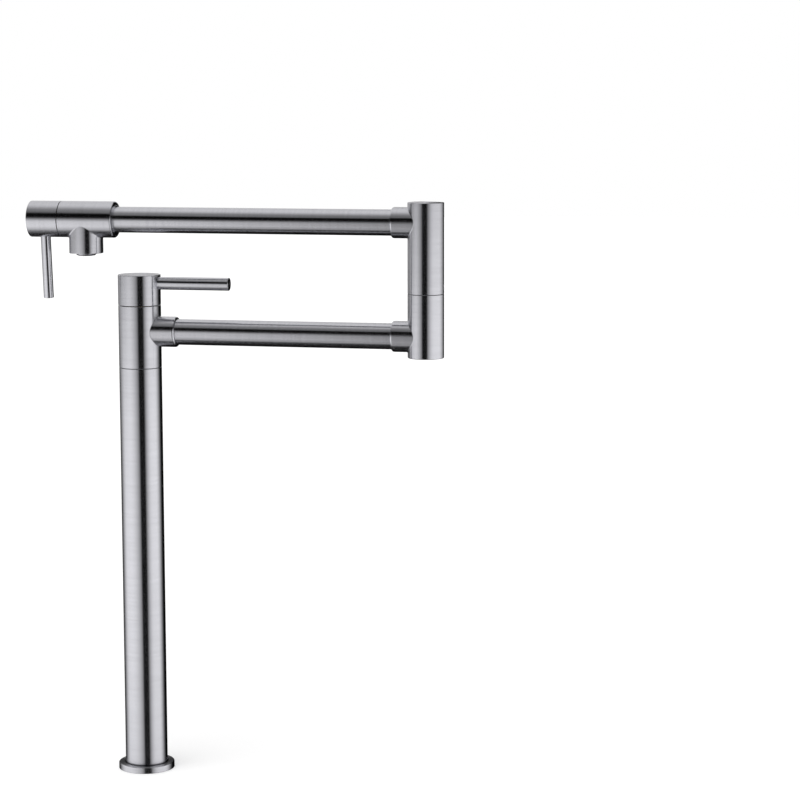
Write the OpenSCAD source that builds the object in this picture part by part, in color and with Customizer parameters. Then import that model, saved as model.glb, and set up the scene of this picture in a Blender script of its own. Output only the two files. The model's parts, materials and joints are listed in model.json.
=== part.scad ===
// Deck mounted pot filler with two swinging arms and two quarter turn valves.
// The worktop is the plane z = 0 and the column's axis is Z. At rest both arms
// lie along X: the lower arm runs out to the elbow and the upper arm runs back.

/* [Column] */
// Outside diameter of the column, its head and its cap
column_d = 40; // [36:1:50]
// Wall of the column tube
column_wall = 1.5; // [1:0.1:2]
// Height of the column tube's top above the worktop
column_h = 387; // [250:1:500]
// Outside diameter of the riser pipe inside the column
riser_d = 12; // [8:0.5:14]
// Wall of the riser pipe
riser_wall = 1; // [0.6:0.1:1.5]
// Diameter of the base flange
flange_d = 53; // [52:1:75]
// Thickness of the base flange
flange_t = 6; // [4:0.5:12]

/* [Deck fixing] */
// Outside diameter of the threaded shank
shank_d = 26; // [22:1:29]
// Length of the shank below the worktop's top face
shank_drop = 51; // [45:1:90]
// Worktop space between the flange and the mounting nut at rest
deck_gap = 25; // [10:1:30]
// Minor radius of the inlet thread in the shank's lower end
inlet_r = 9.3; // [7:0.1:9.6]
// Depth of the inlet thread
inlet_depth = 15; // [10:1:20]
// Diameter of the mounting nut's flange
nut_flange_d = 49.2; // [44:0.2:64]
// Height of the mounting nut with its four wings
nut_h = 19; // [15:0.5:22]

/* [Head] */
// Height of the turning head, from the swivel seam to the cap seam
head_h = 58; // [57:1:80]
// Height of the cap that carries the column's lever
cap_h = 28.3; // [27:0.1:30]
// Distance from the head's top down to the lower arm's axis
stub_drop = 24.5; // [23:0.1:26]
// Distance from the column's axis to the end of the head's stub
stub_reach = 37; // [36:0.5:60]

/* [Arms] */
// Distance between the column's axis and the elbow's axis
arm_reach = 274; // [200:1:400]
// Height of the upper arm's axis above the lower arm's axis
arm_rise = 104.5; // [90:0.5:160]
// Outside diameter of both arm tubes
tube_d = 24; // [20:0.5:26]
// Wall of both arm tubes
tube_wall = 1.2; // [0.8:0.1:2]
// Outside diameter of the stubs that hold the tubes
stub_d = 28.5; // [27.5:0.1:32]
// Depth to which a tube goes into its socket
socket_depth = 12; // [8:0.5:13]

/* [Elbow] */
// Outside diameter of the elbow
elbow_d = 33.5; // [30:0.5:45]
// Distance from the elbow's axis to the end of its stubs
elbow_stub_reach = 31.3; // [30:0.1:50]
// Distance from the lower arm's axis down to the elbow's underside
elbow_foot = 19.25; // [17:0.25:30]
// Distance from the lower arm's axis up to the elbow's seam
elbow_seam_rise = 39.5; // [36:0.5:45]
// Distance from the upper arm's axis up to the elbow's top
elbow_crown = 18.75; // [17:0.25:30]
// Outside diameter of the spigot that the elbow turns on
elbow_spigot_d = 22; // [20:0.5:24]
// Height of that spigot above the elbow's seam
elbow_neck_h = 25; // [24:0.5:30]

/* [Spout] */
// Outside diameter of the spout body and its cap
spout_d = 34; // [34:0.5:45]
// Distance from the elbow's axis to the outlet's axis
outlet_reach = 325.5; // [250:0.5:450]
// Distance from the outlet's axis to the spout body's face round the tube
spout_front = 29.5; // [29:0.5:40]
// Distance from the outlet's axis to the seam with the spout's cap
spout_back = 23.1; // [22:0.1:24]
// Length of the spout's cap
spout_cap_l = 29.7; // [28:0.1:40]
// Outside diameter of the outlet
outlet_d = 32; // [29:0.5:34]
// Distance from the spout's axis down to the outlet's lower edge
outlet_drop = 31.6; // [30:0.1:50]

/* [Levers] */
// Diameter of the column's lever
lever_d = 12; // [8:0.5:12]
// Distance from the column's axis to the lever's tip
lever_reach = 87.5; // [50:0.5:150]
// Distance from the cap's top down to the lever's axis
lever_drop = 8; // [8:0.5:10]
// Diameter of the spout's lever
spout_lever_d = 9.5; // [7:0.5:12]
// Distance from the spout's axis to the lever's tip
spout_lever_reach = 75.2; // [50:0.1:120]
// Distance from the seam of the spout's cap to its lever's axis
spout_lever_back = 16.7; // [16:0.1:17]
// Angle by which the spout's lever hangs past straight down
spout_lever_lean = 5; // [0:1:10]

/* [Fits] */
// Radial clearance of surfaces that turn or slide on each other
run_gap = 0.05; // [0.02:0.01:0.08]
// Radial clearance of pieces that are soldered, glued or screwed together
fit_gap = 0.05; // [0.02:0.01:0.1]
// Gap at the swivel seams of the head and the elbow
swivel_gap = 0.5; // [0.3:0.1:1]
// Gap under each lever cap
cap_gap = 0.7; // [0.3:0.1:1]
// Film between the two ceramic discs of a valve
disc_film = 0.02; // [0.01:0.01:0.05]

/* [Hidden] */
$fn = 96;

brushed = [0.70, 0.70, 0.72];
raw_brass = [0.80, 0.65, 0.35];
ceramic = [0.93, 0.92, 0.88];
black_rubber = [0.10, 0.10, 0.10];
grey_nylon = [0.35, 0.35, 0.37];
dark_steel = [0.25, 0.25, 0.27];
copper = [0.75, 0.45, 0.30];

// Small edge breaks and a length that lets cutters pass through a face
edge = 0.4;
fine_edge = 0.2;
eps = 1;

// Column and head, from the worktop upwards
column_r = column_d / 2;
column_bore_r = column_r - column_wall;
flange_floor = 2;
foot_h = 32;
shank_r = shank_d / 2;
shank_bore_r = 6;
shank_screw_in = 12.5;
shank_play = 0.2;
shank_chamfer = 1;
seal_t = 1.5;
seal_inset = 0.5;
riser_r = riser_d / 2;
riser_socket = 10;
riser_z = flange_floor + foot_h - riser_socket;
spigot_plug_h = 30;
spigot_bore_r = 5;
riser_top = column_h - spigot_plug_h + riser_socket;
head_z = column_h + swivel_gap;
head_top = head_z + head_h;
cap_z = head_top + cap_gap;
cap_top = cap_z + cap_h;

// Deck gasket, in a groove of the base flange
gasket_out = flange_d / 2 - 2;
gasket_in = gasket_out - 5;

// Valve: lengths are measured from its seat towards its cap
valve_depth = 34.5;
sleeve_lift = 1;
sleeve_r = 9.9;
sleeve_top = 22;
window_w = 11;
chamber_r = 12;
chamber_l = 21;
thread_r = 10.5;
seat_web = 3;
seat_hole_r = 5.5;
disc_r = 8.9;
disc_t = 3;
disc_play = 0.1;
port_r = 2.7;
port_offset = 4.8;
seat_seal_t = 3;
fixed_z = seat_seal_t;
moving_z = fixed_z + disc_t + disc_film;
driver_z = moving_z + disc_t;
driver_t = 3;
driver_w = 4;
window_z = moving_z + 0.5;
stem_r = 4.95;
spindle_grooves = [24, 29];
spindle_groove_w = 1.4;
spindle_groove_depth = 1.1;
spindle_o_ring_r = 0.5;
driver_room = 2;
sleeve_bore_top = driver_z + driver_t + driver_room;
hex_af = 22;
hex_h = 5;
neck_r = 7;
neck_top = 44;
clip_t = 0.9;
clip_play = 0.1;
clip_groove_depth = 0.8;
clip_mouth = 5;
boss_z = 46;
tang_r = 4;
tang_flat = 3.2;
tang_top = 58;
cap_wall = 3;
seat_z = head_top - valve_depth;

// Swivel necks, with one groove for a set screw and two for O-rings
neck_play = 1;
neck_spigot_r = 12.5;
neck_h = seat_z - seat_web - neck_play - column_h;
screw_r = 2.5;
screw_rise = 7;
screw_groove_w = 4;
screw_groove_depth = 1.5;
screw_tip_r = 1.8;
screw_tip_l = 2;
screw_tip_gap = 0.1;
screw_inset = 0.5;
screw_key_r = 1.44;
screw_key_depth = 2.5;
o_ring_groove_w = 2.4;
o_ring_groove_depth = 1.8;
o_ring_r = 0.87;
o_ring_pitch = 4.4;
o_ring_first = screw_rise + 5.5;
bearing_inset = 0.8;
bearing_play = 0.2;
elbow_bore_r = 7;

// Arms, elbow and spout
tube_r = tube_d / 2;
stub_r = stub_d / 2;
nose = stub_r - tube_r;
water_r = 8;
lower_z = head_top - stub_drop;
upper_z = lower_z + arm_rise;
elbow_r = elbow_d / 2;
elbow_bottom = lower_z - elbow_foot;
elbow_seam = lower_z + elbow_seam_rise;
elbow_upper_z = elbow_seam + swivel_gap;
elbow_top = upper_z + elbow_crown;
elbow_spigot_r = elbow_spigot_d / 2;
elbow_spigot_depth = 20;
spout_r = spout_d / 2;
outlet_r = outlet_d / 2;
outlet_x = arm_reach - outlet_reach;
spout_front_x = outlet_x + spout_front;
spout_seam_x = outlet_x - spout_back;
spout_cap_x = spout_seam_x - cap_gap;
spout_end_x = spout_cap_x - spout_cap_l;
spout_seat_x = spout_seam_x + valve_depth;
outlet_z = upper_z - outlet_drop;
bush_t = 1.15;
bush_depth = 2;
bush_proud = 1;

// Aerator, measured up from the outlet's lower edge
aerator_bore_r = 12;
aerator_bore_h = 12;
aerator_up = 1.1;
aerator_nose_r = 9.8;
aerator_nose_drop = 2.5;
aerator_nose_taper = 1.6;
aerator_ledge_r = 7.6;
aerator_ledge_h = 0.8;
aerator_inner_r = 8.3;
aerator_upper_r = 9.5;
aerator_step = 6;
screen_t = 0.6;
screen_hole = 1.3;
screen_pitch = 1.9;
flow_disc_t = 2;
flow_hole_r = 0.8;
flow_hole_offset = 6;

// Levers
lever_r = lever_d / 2;
spout_lever_r = spout_lever_d / 2;
lever_socket = 1.5;
lever_z = cap_top - lever_drop;
lever_bevel = 0.5;

// Mounting nut
nut_z = -deck_gap;
nut_flange_t = 5;
nut_hub_r = shank_r + 4;
nut_hub_h = 13;
wing_w = 7.5;
wing_corner = 3;
nut_bore_r = shank_r + run_gap;
nut_sink = 0.8;
wing_foot = 1.5;
wing_inset = 1;
nut_flange_r = nut_flange_d / 2;

module along_x(x, z) {
    translate([x, 0, z]) rotate([0, 90, 0]) children();
}

// A bar on Z with a bevel at its lower and its upper edge
module bar(r, h, low = 0, high = 0) {
    rotate_extrude()
        polygon([[0, 0], [r - low, 0], [r, low], [r, h - high], [r - high, h], [0, h]]);
}

// A bar with a hole through it
module ring(r_out, r_in, h, low = 0, high = 0) {
    difference() {
        bar(r_out, h, low, high);
        translate([0, 0, -eps]) cylinder(r = r_in, h = h + 2 * eps);
    }
}

// Cuts a groove of width w and given depth into a shaft of radius r
module groove(r, w, depth) {
    difference() {
        cylinder(r = r + eps, h = w);
        translate([0, 0, -eps]) cylinder(r = r - depth, h = w + 2 * eps);
    }
}

module o_ring(mid_r, section_r) {
    rotate_extrude() translate([mid_r, 0]) circle(r = section_r, $fn = 32);
}

// Length of the grub screw that reaches from inside the wall of a body of
// radius r to the groove of its spigot
function screw_length(r, spigot_r) =
    r - screw_inset - (spigot_r - screw_groove_depth) - screw_tip_gap;

// The stretch of a spigot that a swivelling body turns on, from z = 0 up
module swivel_neck(r, h, bore) {
    difference() {
        bar(r, h, 0, edge);
        translate([0, 0, -eps]) cylinder(r = bore, h = h + 2 * eps);
        translate([0, 0, screw_rise - screw_groove_w / 2])
            groove(r, screw_groove_w, screw_groove_depth);
        for (i = [0, 1])
            translate([0, 0, o_ring_first + i * o_ring_pitch - o_ring_groove_w / 2])
                groove(r, o_ring_groove_w, o_ring_groove_depth);
    }
}

module neck_o_rings(r) {
    for (i = [0, 1])
        translate([0, 0, o_ring_first + i * o_ring_pitch])
            o_ring(r - o_ring_r - fit_gap / 2, o_ring_r);
}

// Grub screw on X: its head end at x = 0, its dog point towards -X
module set_screw(length) {
    color(dark_steel) rotate([0, -90, 0]) difference() {
        union() {
            bar(screw_r - fit_gap, length - screw_tip_l, edge, edge);
            cylinder(r = screw_tip_r, h = length);
        }
        translate([0, 0, -eps]) cylinder(r = screw_key_r, h = screw_key_depth + eps, $fn = 6);
    }
}

// Stub along +X from the axis, with a tapered nose that meets the tube
module stub(reach) {
    rotate([0, 90, 0]) bar(stub_r, reach, 0, nose);
}

// Tube socket and water way of a stub that ends at x = reach
module stub_bore(reach) {
    rotate([0, 90, 0]) {
        cylinder(r = water_r, h = reach);
        translate([0, 0, reach - socket_depth])
            cylinder(r = tube_r + fit_gap, h = socket_depth + eps);
    }
}

// Room for a valve inside a body: z = 0 is the seat, the body ends at valve_depth
module valve_room() {
    cylinder(r = chamber_r, h = chamber_l);
    cylinder(r = thread_r, h = valve_depth + eps);
    translate([0, 0, -seat_web - eps]) cylinder(r = seat_hole_r, h = seat_web + 2 * eps);
}

module seat_seal() {
    color(black_rubber) ring(disc_r, seat_hole_r + seal_inset, seat_seal_t);
}

module ported_disc(turn) {
    rotate([0, 0, turn]) difference() {
        cylinder(r = disc_r, h = disc_t);
        for (side = [-1, 1])
            translate([side * port_offset, 0, -eps]) cylinder(r = port_r, h = disc_t + 2 * eps);
    }
}

module fixed_disc() {
    color(ceramic) translate([0, 0, fixed_z]) ported_disc(0);
}

module moving_disc() {
    color(ceramic) translate([0, 0, moving_z]) ported_disc(90);
}

// Sleeve with two windows, threaded shoulder, hexagon and neck
module cartridge() {
    color(raw_brass) difference() {
        union() {
            translate([0, 0, sleeve_lift])
                cylinder(r = sleeve_r, h = sleeve_top - sleeve_lift);
            translate([0, 0, sleeve_top])
                cylinder(r = thread_r - fit_gap, h = valve_depth - sleeve_top);
            translate([0, 0, valve_depth])
                cylinder(r = hex_af / sqrt(3), h = hex_h, $fn = 6);
            translate([0, 0, valve_depth]) bar(neck_r, neck_top - valve_depth, 0, edge);
        }
        cylinder(r = disc_r + disc_play, h = sleeve_bore_top);
        cylinder(r = stem_r + run_gap, h = neck_top + eps);
        translate([-chamber_r, -window_w / 2, window_z])
            cube([2 * chamber_r, window_w, sleeve_bore_top - eps - window_z]);
    }
}

// Driver bar, stem and flatted tang, all one turned piece
module spindle() {
    color(raw_brass) difference() {
        union() {
            translate([0, 0, driver_z]) intersection() {
                cylinder(r = disc_r, h = driver_t);
                translate([-disc_r, -driver_w / 2, 0]) cube([2 * disc_r, driver_w, driver_t]);
            }
            translate([0, 0, driver_z]) cylinder(r = stem_r, h = boss_z - driver_z);
            translate([0, 0, boss_z]) bar(tang_r, tang_top - boss_z, 0, edge);
        }
        for (z = spindle_grooves)
            translate([0, 0, z]) groove(stem_r, spindle_groove_w, spindle_groove_depth);
        translate([0, 0, neck_top]) groove(stem_r, clip_t + clip_play, clip_groove_depth);
        translate([tang_flat, -tang_r, boss_z + eps])
            cube([tang_r, 2 * tang_r, tang_top - boss_z]);
    }
}

module spindle_o_rings() {
    color(black_rubber) for (z = spindle_grooves)
        translate([0, 0, z + spindle_groove_w / 2])
            o_ring(stem_r - spindle_o_ring_r - fit_gap / 2, spindle_o_ring_r);
}

module spindle_clip() {
    color(brushed) translate([0, 0, neck_top + clip_play / 2]) difference() {
        ring(neck_r - edge, stem_r - clip_groove_depth + fit_gap, clip_t);
        translate([0, -clip_mouth / 2, -eps]) cube([neck_r, clip_mouth, clip_t + 2 * eps]);
    }
}

// Lever cap of radius r and length h over a valve: z = 0 is its open end, and
// the valve's seat lies valve_depth + cap_gap below that. The lever points to +X.
module lever_cap(r, h, lever_at, bar_r) {
    boss = boss_z - valve_depth - cap_gap;
    tang_hole = tang_top - valve_depth - cap_gap + fine_edge;
    color(brushed) difference() {
        bar(r, h, fine_edge, edge);
        translate([0, 0, -eps]) cylinder(r = r - cap_wall, h = boss + eps);
        difference() {
            cylinder(r = tang_r + fit_gap, h = tang_hole);
            translate([tang_flat + fit_gap, -r, boss + eps]) cube([r, 2 * r, h]);
        }
        translate([0, 0, lever_at]) rotate([0, 90, 0]) {
            cylinder(r = bar_r / 2 + fit_gap, h = r + eps);
            translate([0, 0, lever_seat(r, bar_r)])
                cylinder(r = bar_r + fit_gap, h = r);
        }
    }
}

function lever_seat(r, bar_r) = sqrt(r * r - bar_r * bar_r) - lever_socket;

// Round lever on +X with a stud that goes through the cap to the spindle's flat
module lever(r, bar_r, reach) {
    seat = lever_seat(r, bar_r);
    color(brushed) rotate([0, 90, 0]) union() {
        translate([0, 0, tang_flat + fit_gap]) bar(bar_r / 2, seat, lever_bevel, 0);
        translate([0, 0, seat]) bar(bar_r, reach - seat, 0, lever_bevel);
    }
}

module at_column_valve() {
    translate([0, 0, seat_z]) children();
}

module at_spout_valve() {
    translate([spout_seat_x, 0, upper_z]) rotate([0, -90, 0]) rotate([0, 0, 180]) children();
}

module at_spout_handle() {
    translate([0, 0, upper_z]) rotate([spout_lever_lean, 0, 0])
        translate([0, 0, -upper_z]) at_spout_valve() children();
}

module base_flange() {
    color(brushed) difference() {
        bar(flange_d / 2, flange_t, fine_edge, 2 * edge);
        translate([0, 0, -eps]) cylinder(r = shank_r + shank_play, h = flange_t + 2 * eps);
        translate([0, 0, flange_floor]) cylinder(r = column_r + fit_gap, h = flange_t);
        translate([0, 0, -eps]) ring(gasket_out, gasket_in, seal_t + eps);
    }
}

module deck_gasket() {
    color(black_rubber) ring(gasket_out - fit_gap, gasket_in + fit_gap, seal_t);
}

module column_foot() {
    color(raw_brass) translate([0, 0, flange_floor]) difference() {
        bar(column_bore_r - fit_gap, foot_h, 0, edge);
        translate([0, 0, -eps]) cylinder(r = shank_r + fit_gap, h = shank_screw_in + seal_t + eps);
        cylinder(r = riser_r - riser_wall, h = foot_h);
        translate([0, 0, foot_h - riser_socket])
            cylinder(r = riser_r + fit_gap, h = riser_socket + eps);
    }
}

module threaded_shank() {
    color(raw_brass) translate([0, 0, -shank_drop]) difference() {
        bar(shank_r, shank_drop + flange_floor + shank_screw_in, shank_chamfer, edge);
        translate([0, 0, -eps]) cylinder(r = inlet_r, h = inlet_depth + eps);
        cylinder(r = shank_bore_r, h = shank_drop + flange_floor + shank_screw_in + eps);
    }
}

module shank_seal() {
    color(black_rubber) translate([0, 0, flange_floor + shank_screw_in])
        ring(shank_r - seal_inset, shank_bore_r + seal_inset, seal_t);
}

module column_tube() {
    color(brushed) translate([0, 0, flange_floor])
        ring(column_r, column_bore_r, column_h - flange_floor, 0, fine_edge);
}

module riser_pipe() {
    color(copper) translate([0, 0, riser_z])
        ring(riser_r, riser_r - riser_wall, riser_top - riser_z);
}

module column_spigot() {
    color(raw_brass) translate([0, 0, column_h]) union() {
        swivel_neck(neck_spigot_r, neck_h, spigot_bore_r);
        translate([0, 0, -spigot_plug_h]) difference() {
            bar(column_bore_r - fit_gap, spigot_plug_h, edge, 0);
            translate([0, 0, -eps]) cylinder(r = spigot_bore_r, h = spigot_plug_h + 2 * eps);
            translate([0, 0, -eps]) cylinder(r = riser_r + fit_gap, h = riser_socket + eps);
        }
    }
}

module column_o_rings() {
    color(black_rubber) translate([0, 0, column_h]) neck_o_rings(neck_spigot_r);
}

module head_bearing_ring() {
    color(grey_nylon) translate([0, 0, column_h])
        ring(column_r - bearing_inset, neck_spigot_r + bearing_play, swivel_gap);
}

// Wings stand down from the nut's flange at 45 degrees to the arms
module nut_wing() {
    translate([0, wing_w / 2, 0]) rotate([90, 0, 0]) linear_extrude(wing_w) difference() {
        translate([0, -nut_h]) square([nut_flange_r - wing_inset, nut_h - nut_flange_t / 2]);
        translate([nut_flange_r - wing_inset - wing_corner, -nut_h]) difference() {
            square([wing_corner, wing_corner]);
            translate([0, wing_corner]) circle(r = wing_corner);
        }
    }
}

module mounting_nut() {
    color(grey_nylon) translate([0, 0, nut_z]) difference() {
        union() {
            translate([0, 0, -nut_flange_t]) bar(nut_flange_r, nut_flange_t, edge, edge);
            translate([0, 0, -nut_hub_h]) bar(nut_hub_r, nut_hub_h - nut_flange_t / 2, edge, 0);
            for (a = [45:90:315]) rotate([0, 0, a]) nut_wing();
        }
        translate([0, 0, -nut_h - eps]) cylinder(r = nut_bore_r, h = nut_h + 2 * eps);
        translate([0, 0, -nut_sink])
            cylinder(r1 = nut_bore_r, r2 = nut_bore_r + 2 * nut_sink, h = 2 * nut_sink);
        translate([0, 0, -nut_h - eps])
            cylinder(r = nut_hub_r - wing_foot, h = nut_h - nut_hub_h + eps);
    }
}

module head_body() {
    color(brushed) difference() {
        union() {
            translate([0, 0, head_z]) bar(column_r, head_h, fine_edge, fine_edge);
            translate([0, 0, lower_z]) stub(stub_reach);
        }
        translate([0, 0, lower_z]) stub_bore(stub_reach);
        at_column_valve() valve_room();
        translate([0, 0, head_z - eps])
            cylinder(r = neck_spigot_r + run_gap, h = seat_z - seat_web - head_z + eps);
        translate([0, 0, column_h + screw_rise]) rotate([0, -90, 0])
            cylinder(r = screw_r, h = column_r + eps);
    }
}

module head_set_screw() {
    translate([screw_inset - column_r, 0, column_h + screw_rise]) rotate([0, 0, 180])
        set_screw(screw_length(column_r, neck_spigot_r));
}

module column_seat_seal() {
    at_column_valve() seat_seal();
}

module column_fixed_disc() {
    at_column_valve() fixed_disc();
}

module column_cartridge() {
    at_column_valve() cartridge();
}

module lower_arm_tube() {
    start = stub_reach - socket_depth;
    finish = arm_reach - elbow_stub_reach + socket_depth;
    color(brushed) along_x(start, lower_z)
        ring(tube_r, tube_r - tube_wall, finish - start);
}

module elbow_lower_body() {
    color(brushed) difference() {
        translate([arm_reach, 0, 0]) union() {
            translate([0, 0, elbow_bottom])
                bar(elbow_r, elbow_seam - elbow_bottom, 2 * edge, fine_edge);
            translate([0, 0, lower_z]) rotate([0, 0, 180]) stub(elbow_stub_reach);
        }
        translate([arm_reach, 0, lower_z]) {
            rotate([0, 0, 180]) stub_bore(elbow_stub_reach);
            sphere(r = water_r);
            cylinder(r = water_r, h = elbow_seam_rise + eps);
        }
        translate([arm_reach, 0, elbow_seam - elbow_spigot_depth])
            cylinder(r = elbow_spigot_r + fit_gap, h = elbow_spigot_depth + eps);
    }
}

module elbow_spigot() {
    color(raw_brass) translate([arm_reach, 0, elbow_seam]) union() {
        swivel_neck(elbow_spigot_r, elbow_neck_h, elbow_bore_r);
        translate([0, 0, -elbow_spigot_depth])
            ring(elbow_spigot_r, elbow_bore_r, elbow_spigot_depth, edge, 0);
    }
}

module elbow_o_rings() {
    color(black_rubber) translate([arm_reach, 0, elbow_seam]) neck_o_rings(elbow_spigot_r);
}

module elbow_bearing_ring() {
    color(grey_nylon) translate([arm_reach, 0, elbow_seam])
        ring(elbow_r - bearing_inset, elbow_spigot_r + bearing_play, swivel_gap);
}

module column_cap() {
    translate([0, 0, cap_z]) lever_cap(column_r, cap_h, cap_h - lever_drop, lever_r);
}

module column_lever() {
    translate([0, 0, lever_z]) lever(column_r, lever_r, lever_reach);
}

module column_spindle() {
    at_column_valve() spindle();
}

module column_moving_disc() {
    at_column_valve() moving_disc();
}

module column_spindle_o_rings() {
    at_column_valve() spindle_o_rings();
}

module column_spindle_clip() {
    at_column_valve() spindle_clip();
}

module elbow_upper_body() {
    neck_room = elbow_neck_h - swivel_gap + neck_play;
    color(brushed) difference() {
        translate([arm_reach, 0, 0]) union() {
            translate([0, 0, elbow_upper_z])
                bar(elbow_r, elbow_top - elbow_upper_z, fine_edge, edge);
            translate([0, 0, upper_z]) rotate([0, 0, 180]) stub(elbow_stub_reach);
        }
        translate([arm_reach, 0, elbow_upper_z - eps]) {
            cylinder(r = elbow_spigot_r + run_gap, h = neck_room + eps);
            cylinder(r = water_r, h = upper_z - elbow_upper_z + eps);
        }
        translate([arm_reach, 0, upper_z]) {
            rotate([0, 0, 180]) stub_bore(elbow_stub_reach);
            sphere(r = water_r);
        }
        translate([arm_reach, 0, elbow_seam + screw_rise]) rotate([0, 90, 0])
            cylinder(r = screw_r, h = elbow_r + eps);
    }
}

module elbow_set_screw() {
    translate([arm_reach + elbow_r - screw_inset, 0, elbow_seam + screw_rise])
        set_screw(screw_length(elbow_r, elbow_spigot_r));
}

module upper_arm_tube() {
    start = spout_front_x - socket_depth;
    finish = arm_reach - elbow_stub_reach + socket_depth;
    color(brushed) along_x(start, upper_z)
        ring(tube_r, tube_r - tube_wall, finish - start);
}

module spout_body() {
    tube_end = spout_front_x - socket_depth;
    color(brushed) difference() {
        union() {
            along_x(spout_seam_x, upper_z)
                bar(spout_r, spout_front_x - spout_seam_x, fine_edge, edge);
            translate([outlet_x, 0, outlet_z]) bar(outlet_r, outlet_drop, edge, 0);
        }
        at_spout_valve() valve_room();
        along_x(spout_seat_x + seat_web, upper_z)
            cylinder(r = water_r, h = tube_end - spout_seat_x);
        along_x(tube_end, upper_z) cylinder(r = tube_r + fit_gap, h = socket_depth + eps);
        along_x(spout_front_x - bush_depth, upper_z)
            cylinder(r = tube_r + bush_t + 2 * fit_gap, h = bush_depth + eps);
        translate([outlet_x, 0, outlet_z]) {
            translate([0, 0, -eps]) cylinder(r = aerator_bore_r, h = aerator_bore_h + eps);
            cylinder(r = aerator_upper_r, h = outlet_drop);
        }
    }
}

module spout_bush() {
    color(brushed) along_x(spout_front_x - bush_depth, upper_z)
        ring(tube_r + bush_t, tube_r + fit_gap, bush_depth + bush_proud, 0, edge);
}

module spout_seat_seal() {
    at_spout_valve() seat_seal();
}

module spout_fixed_disc() {
    at_spout_valve() fixed_disc();
}

module spout_cartridge() {
    at_spout_valve() cartridge();
}

module aerator_housing() {
    color(brushed) translate([outlet_x, 0, outlet_z]) difference() {
        union() {
            translate([0, 0, aerator_up])
                bar(aerator_bore_r - fit_gap, aerator_bore_h - seal_t - aerator_up, fine_edge, 0);
            translate([0, 0, -aerator_nose_drop])
                bar(aerator_nose_r, aerator_nose_drop + aerator_up + eps, aerator_nose_taper, 0);
        }
        translate([0, 0, -aerator_nose_drop - eps])
            cylinder(r = aerator_ledge_r, h = aerator_ledge_h + 2 * eps);
        translate([0, 0, aerator_ledge_h - aerator_nose_drop])
            cylinder(r = aerator_inner_r, h = aerator_nose_drop + aerator_step);
        translate([0, 0, aerator_step]) cylinder(r = aerator_upper_r, h = aerator_bore_h);
    }
}

// Round plate with a square grid of holes that stays inside its rim
module aerator_screen() {
    rows = floor(aerator_ledge_r / screen_pitch);
    color(brushed) translate([outlet_x, 0, outlet_z - aerator_nose_drop + aerator_ledge_h])
        linear_extrude(screen_t) difference() {
            circle(r = aerator_inner_r - fit_gap);
            for (i = [-rows:rows], j = [-rows:rows])
                if (norm([i, j]) * screen_pitch < aerator_ledge_r - screen_hole)
                    translate([i * screen_pitch, j * screen_pitch])
                        square(screen_hole, center = true);
        }
}

module aerator_flow_disc() {
    color(grey_nylon) translate([outlet_x, 0, outlet_z + aerator_step]) difference() {
        cylinder(r = aerator_upper_r - fit_gap, h = flow_disc_t);
        for (a = [0:30:330]) rotate([0, 0, a])
            translate([flow_hole_offset, 0, -eps])
                cylinder(r = flow_hole_r, h = flow_disc_t + 2 * eps);
    }
}

module aerator_seal() {
    color(black_rubber) translate([outlet_x, 0, outlet_z + aerator_bore_h - seal_t])
        ring(aerator_bore_r - fit_gap, aerator_upper_r + fit_gap, seal_t);
}

module spout_cap() {
    at_spout_handle() translate([0, 0, valve_depth + cap_gap])
        lever_cap(spout_r, spout_cap_l, spout_lever_back, spout_lever_r);
}

module spout_lever() {
    at_spout_handle() translate([0, 0, valve_depth + cap_gap + spout_lever_back])
        lever(spout_r, spout_lever_r, spout_lever_reach);
}

module spout_spindle() {
    at_spout_handle() spindle();
}

module spout_moving_disc() {
    at_spout_handle() moving_disc();
}

module spout_spindle_o_rings() {
    at_spout_handle() spindle_o_rings();
}

module spout_spindle_clip() {
    at_spout_handle() spindle_clip();
}

base_flange();
deck_gasket();
column_foot();
threaded_shank();
shank_seal();
column_tube();
riser_pipe();
column_spigot();
column_o_rings();
head_bearing_ring();
mounting_nut();
head_body();
head_set_screw();
column_seat_seal();
column_fixed_disc();
column_cartridge();
lower_arm_tube();
elbow_lower_body();
elbow_spigot();
elbow_o_rings();
elbow_bearing_ring();
column_cap();
column_lever();
column_spindle();
column_moving_disc();
column_spindle_o_rings();
column_spindle_clip();
elbow_upper_body();
elbow_set_screw();
upper_arm_tube();
spout_body();
spout_bush();
spout_seat_seal();
spout_fixed_disc();
spout_cartridge();
aerator_housing();
aerator_screen();
aerator_flow_disc();
aerator_seal();
spout_cap();
spout_lever();
spout_spindle();
spout_moving_disc();
spout_spindle_o_rings();
spout_spindle_clip();
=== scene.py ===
"""Looks of a deck-mounted pot filler in brushed nickel.

Every outer piece is a surface worked out with numpy: an outline with rounded
corners turned about an axis, a round wall with a side opening, a pipe carried
along a bend, or a screw thread. Sizes are in millimetres until a piece becomes
a mesh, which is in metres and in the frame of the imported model.
"""

import json
import logging
import math
from dataclasses import dataclass, replace
from enum import Enum
from functools import cache, reduce

import bpy
import numpy as np
from mathutils import Matrix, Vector
from numpy.typing import NDArray


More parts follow.
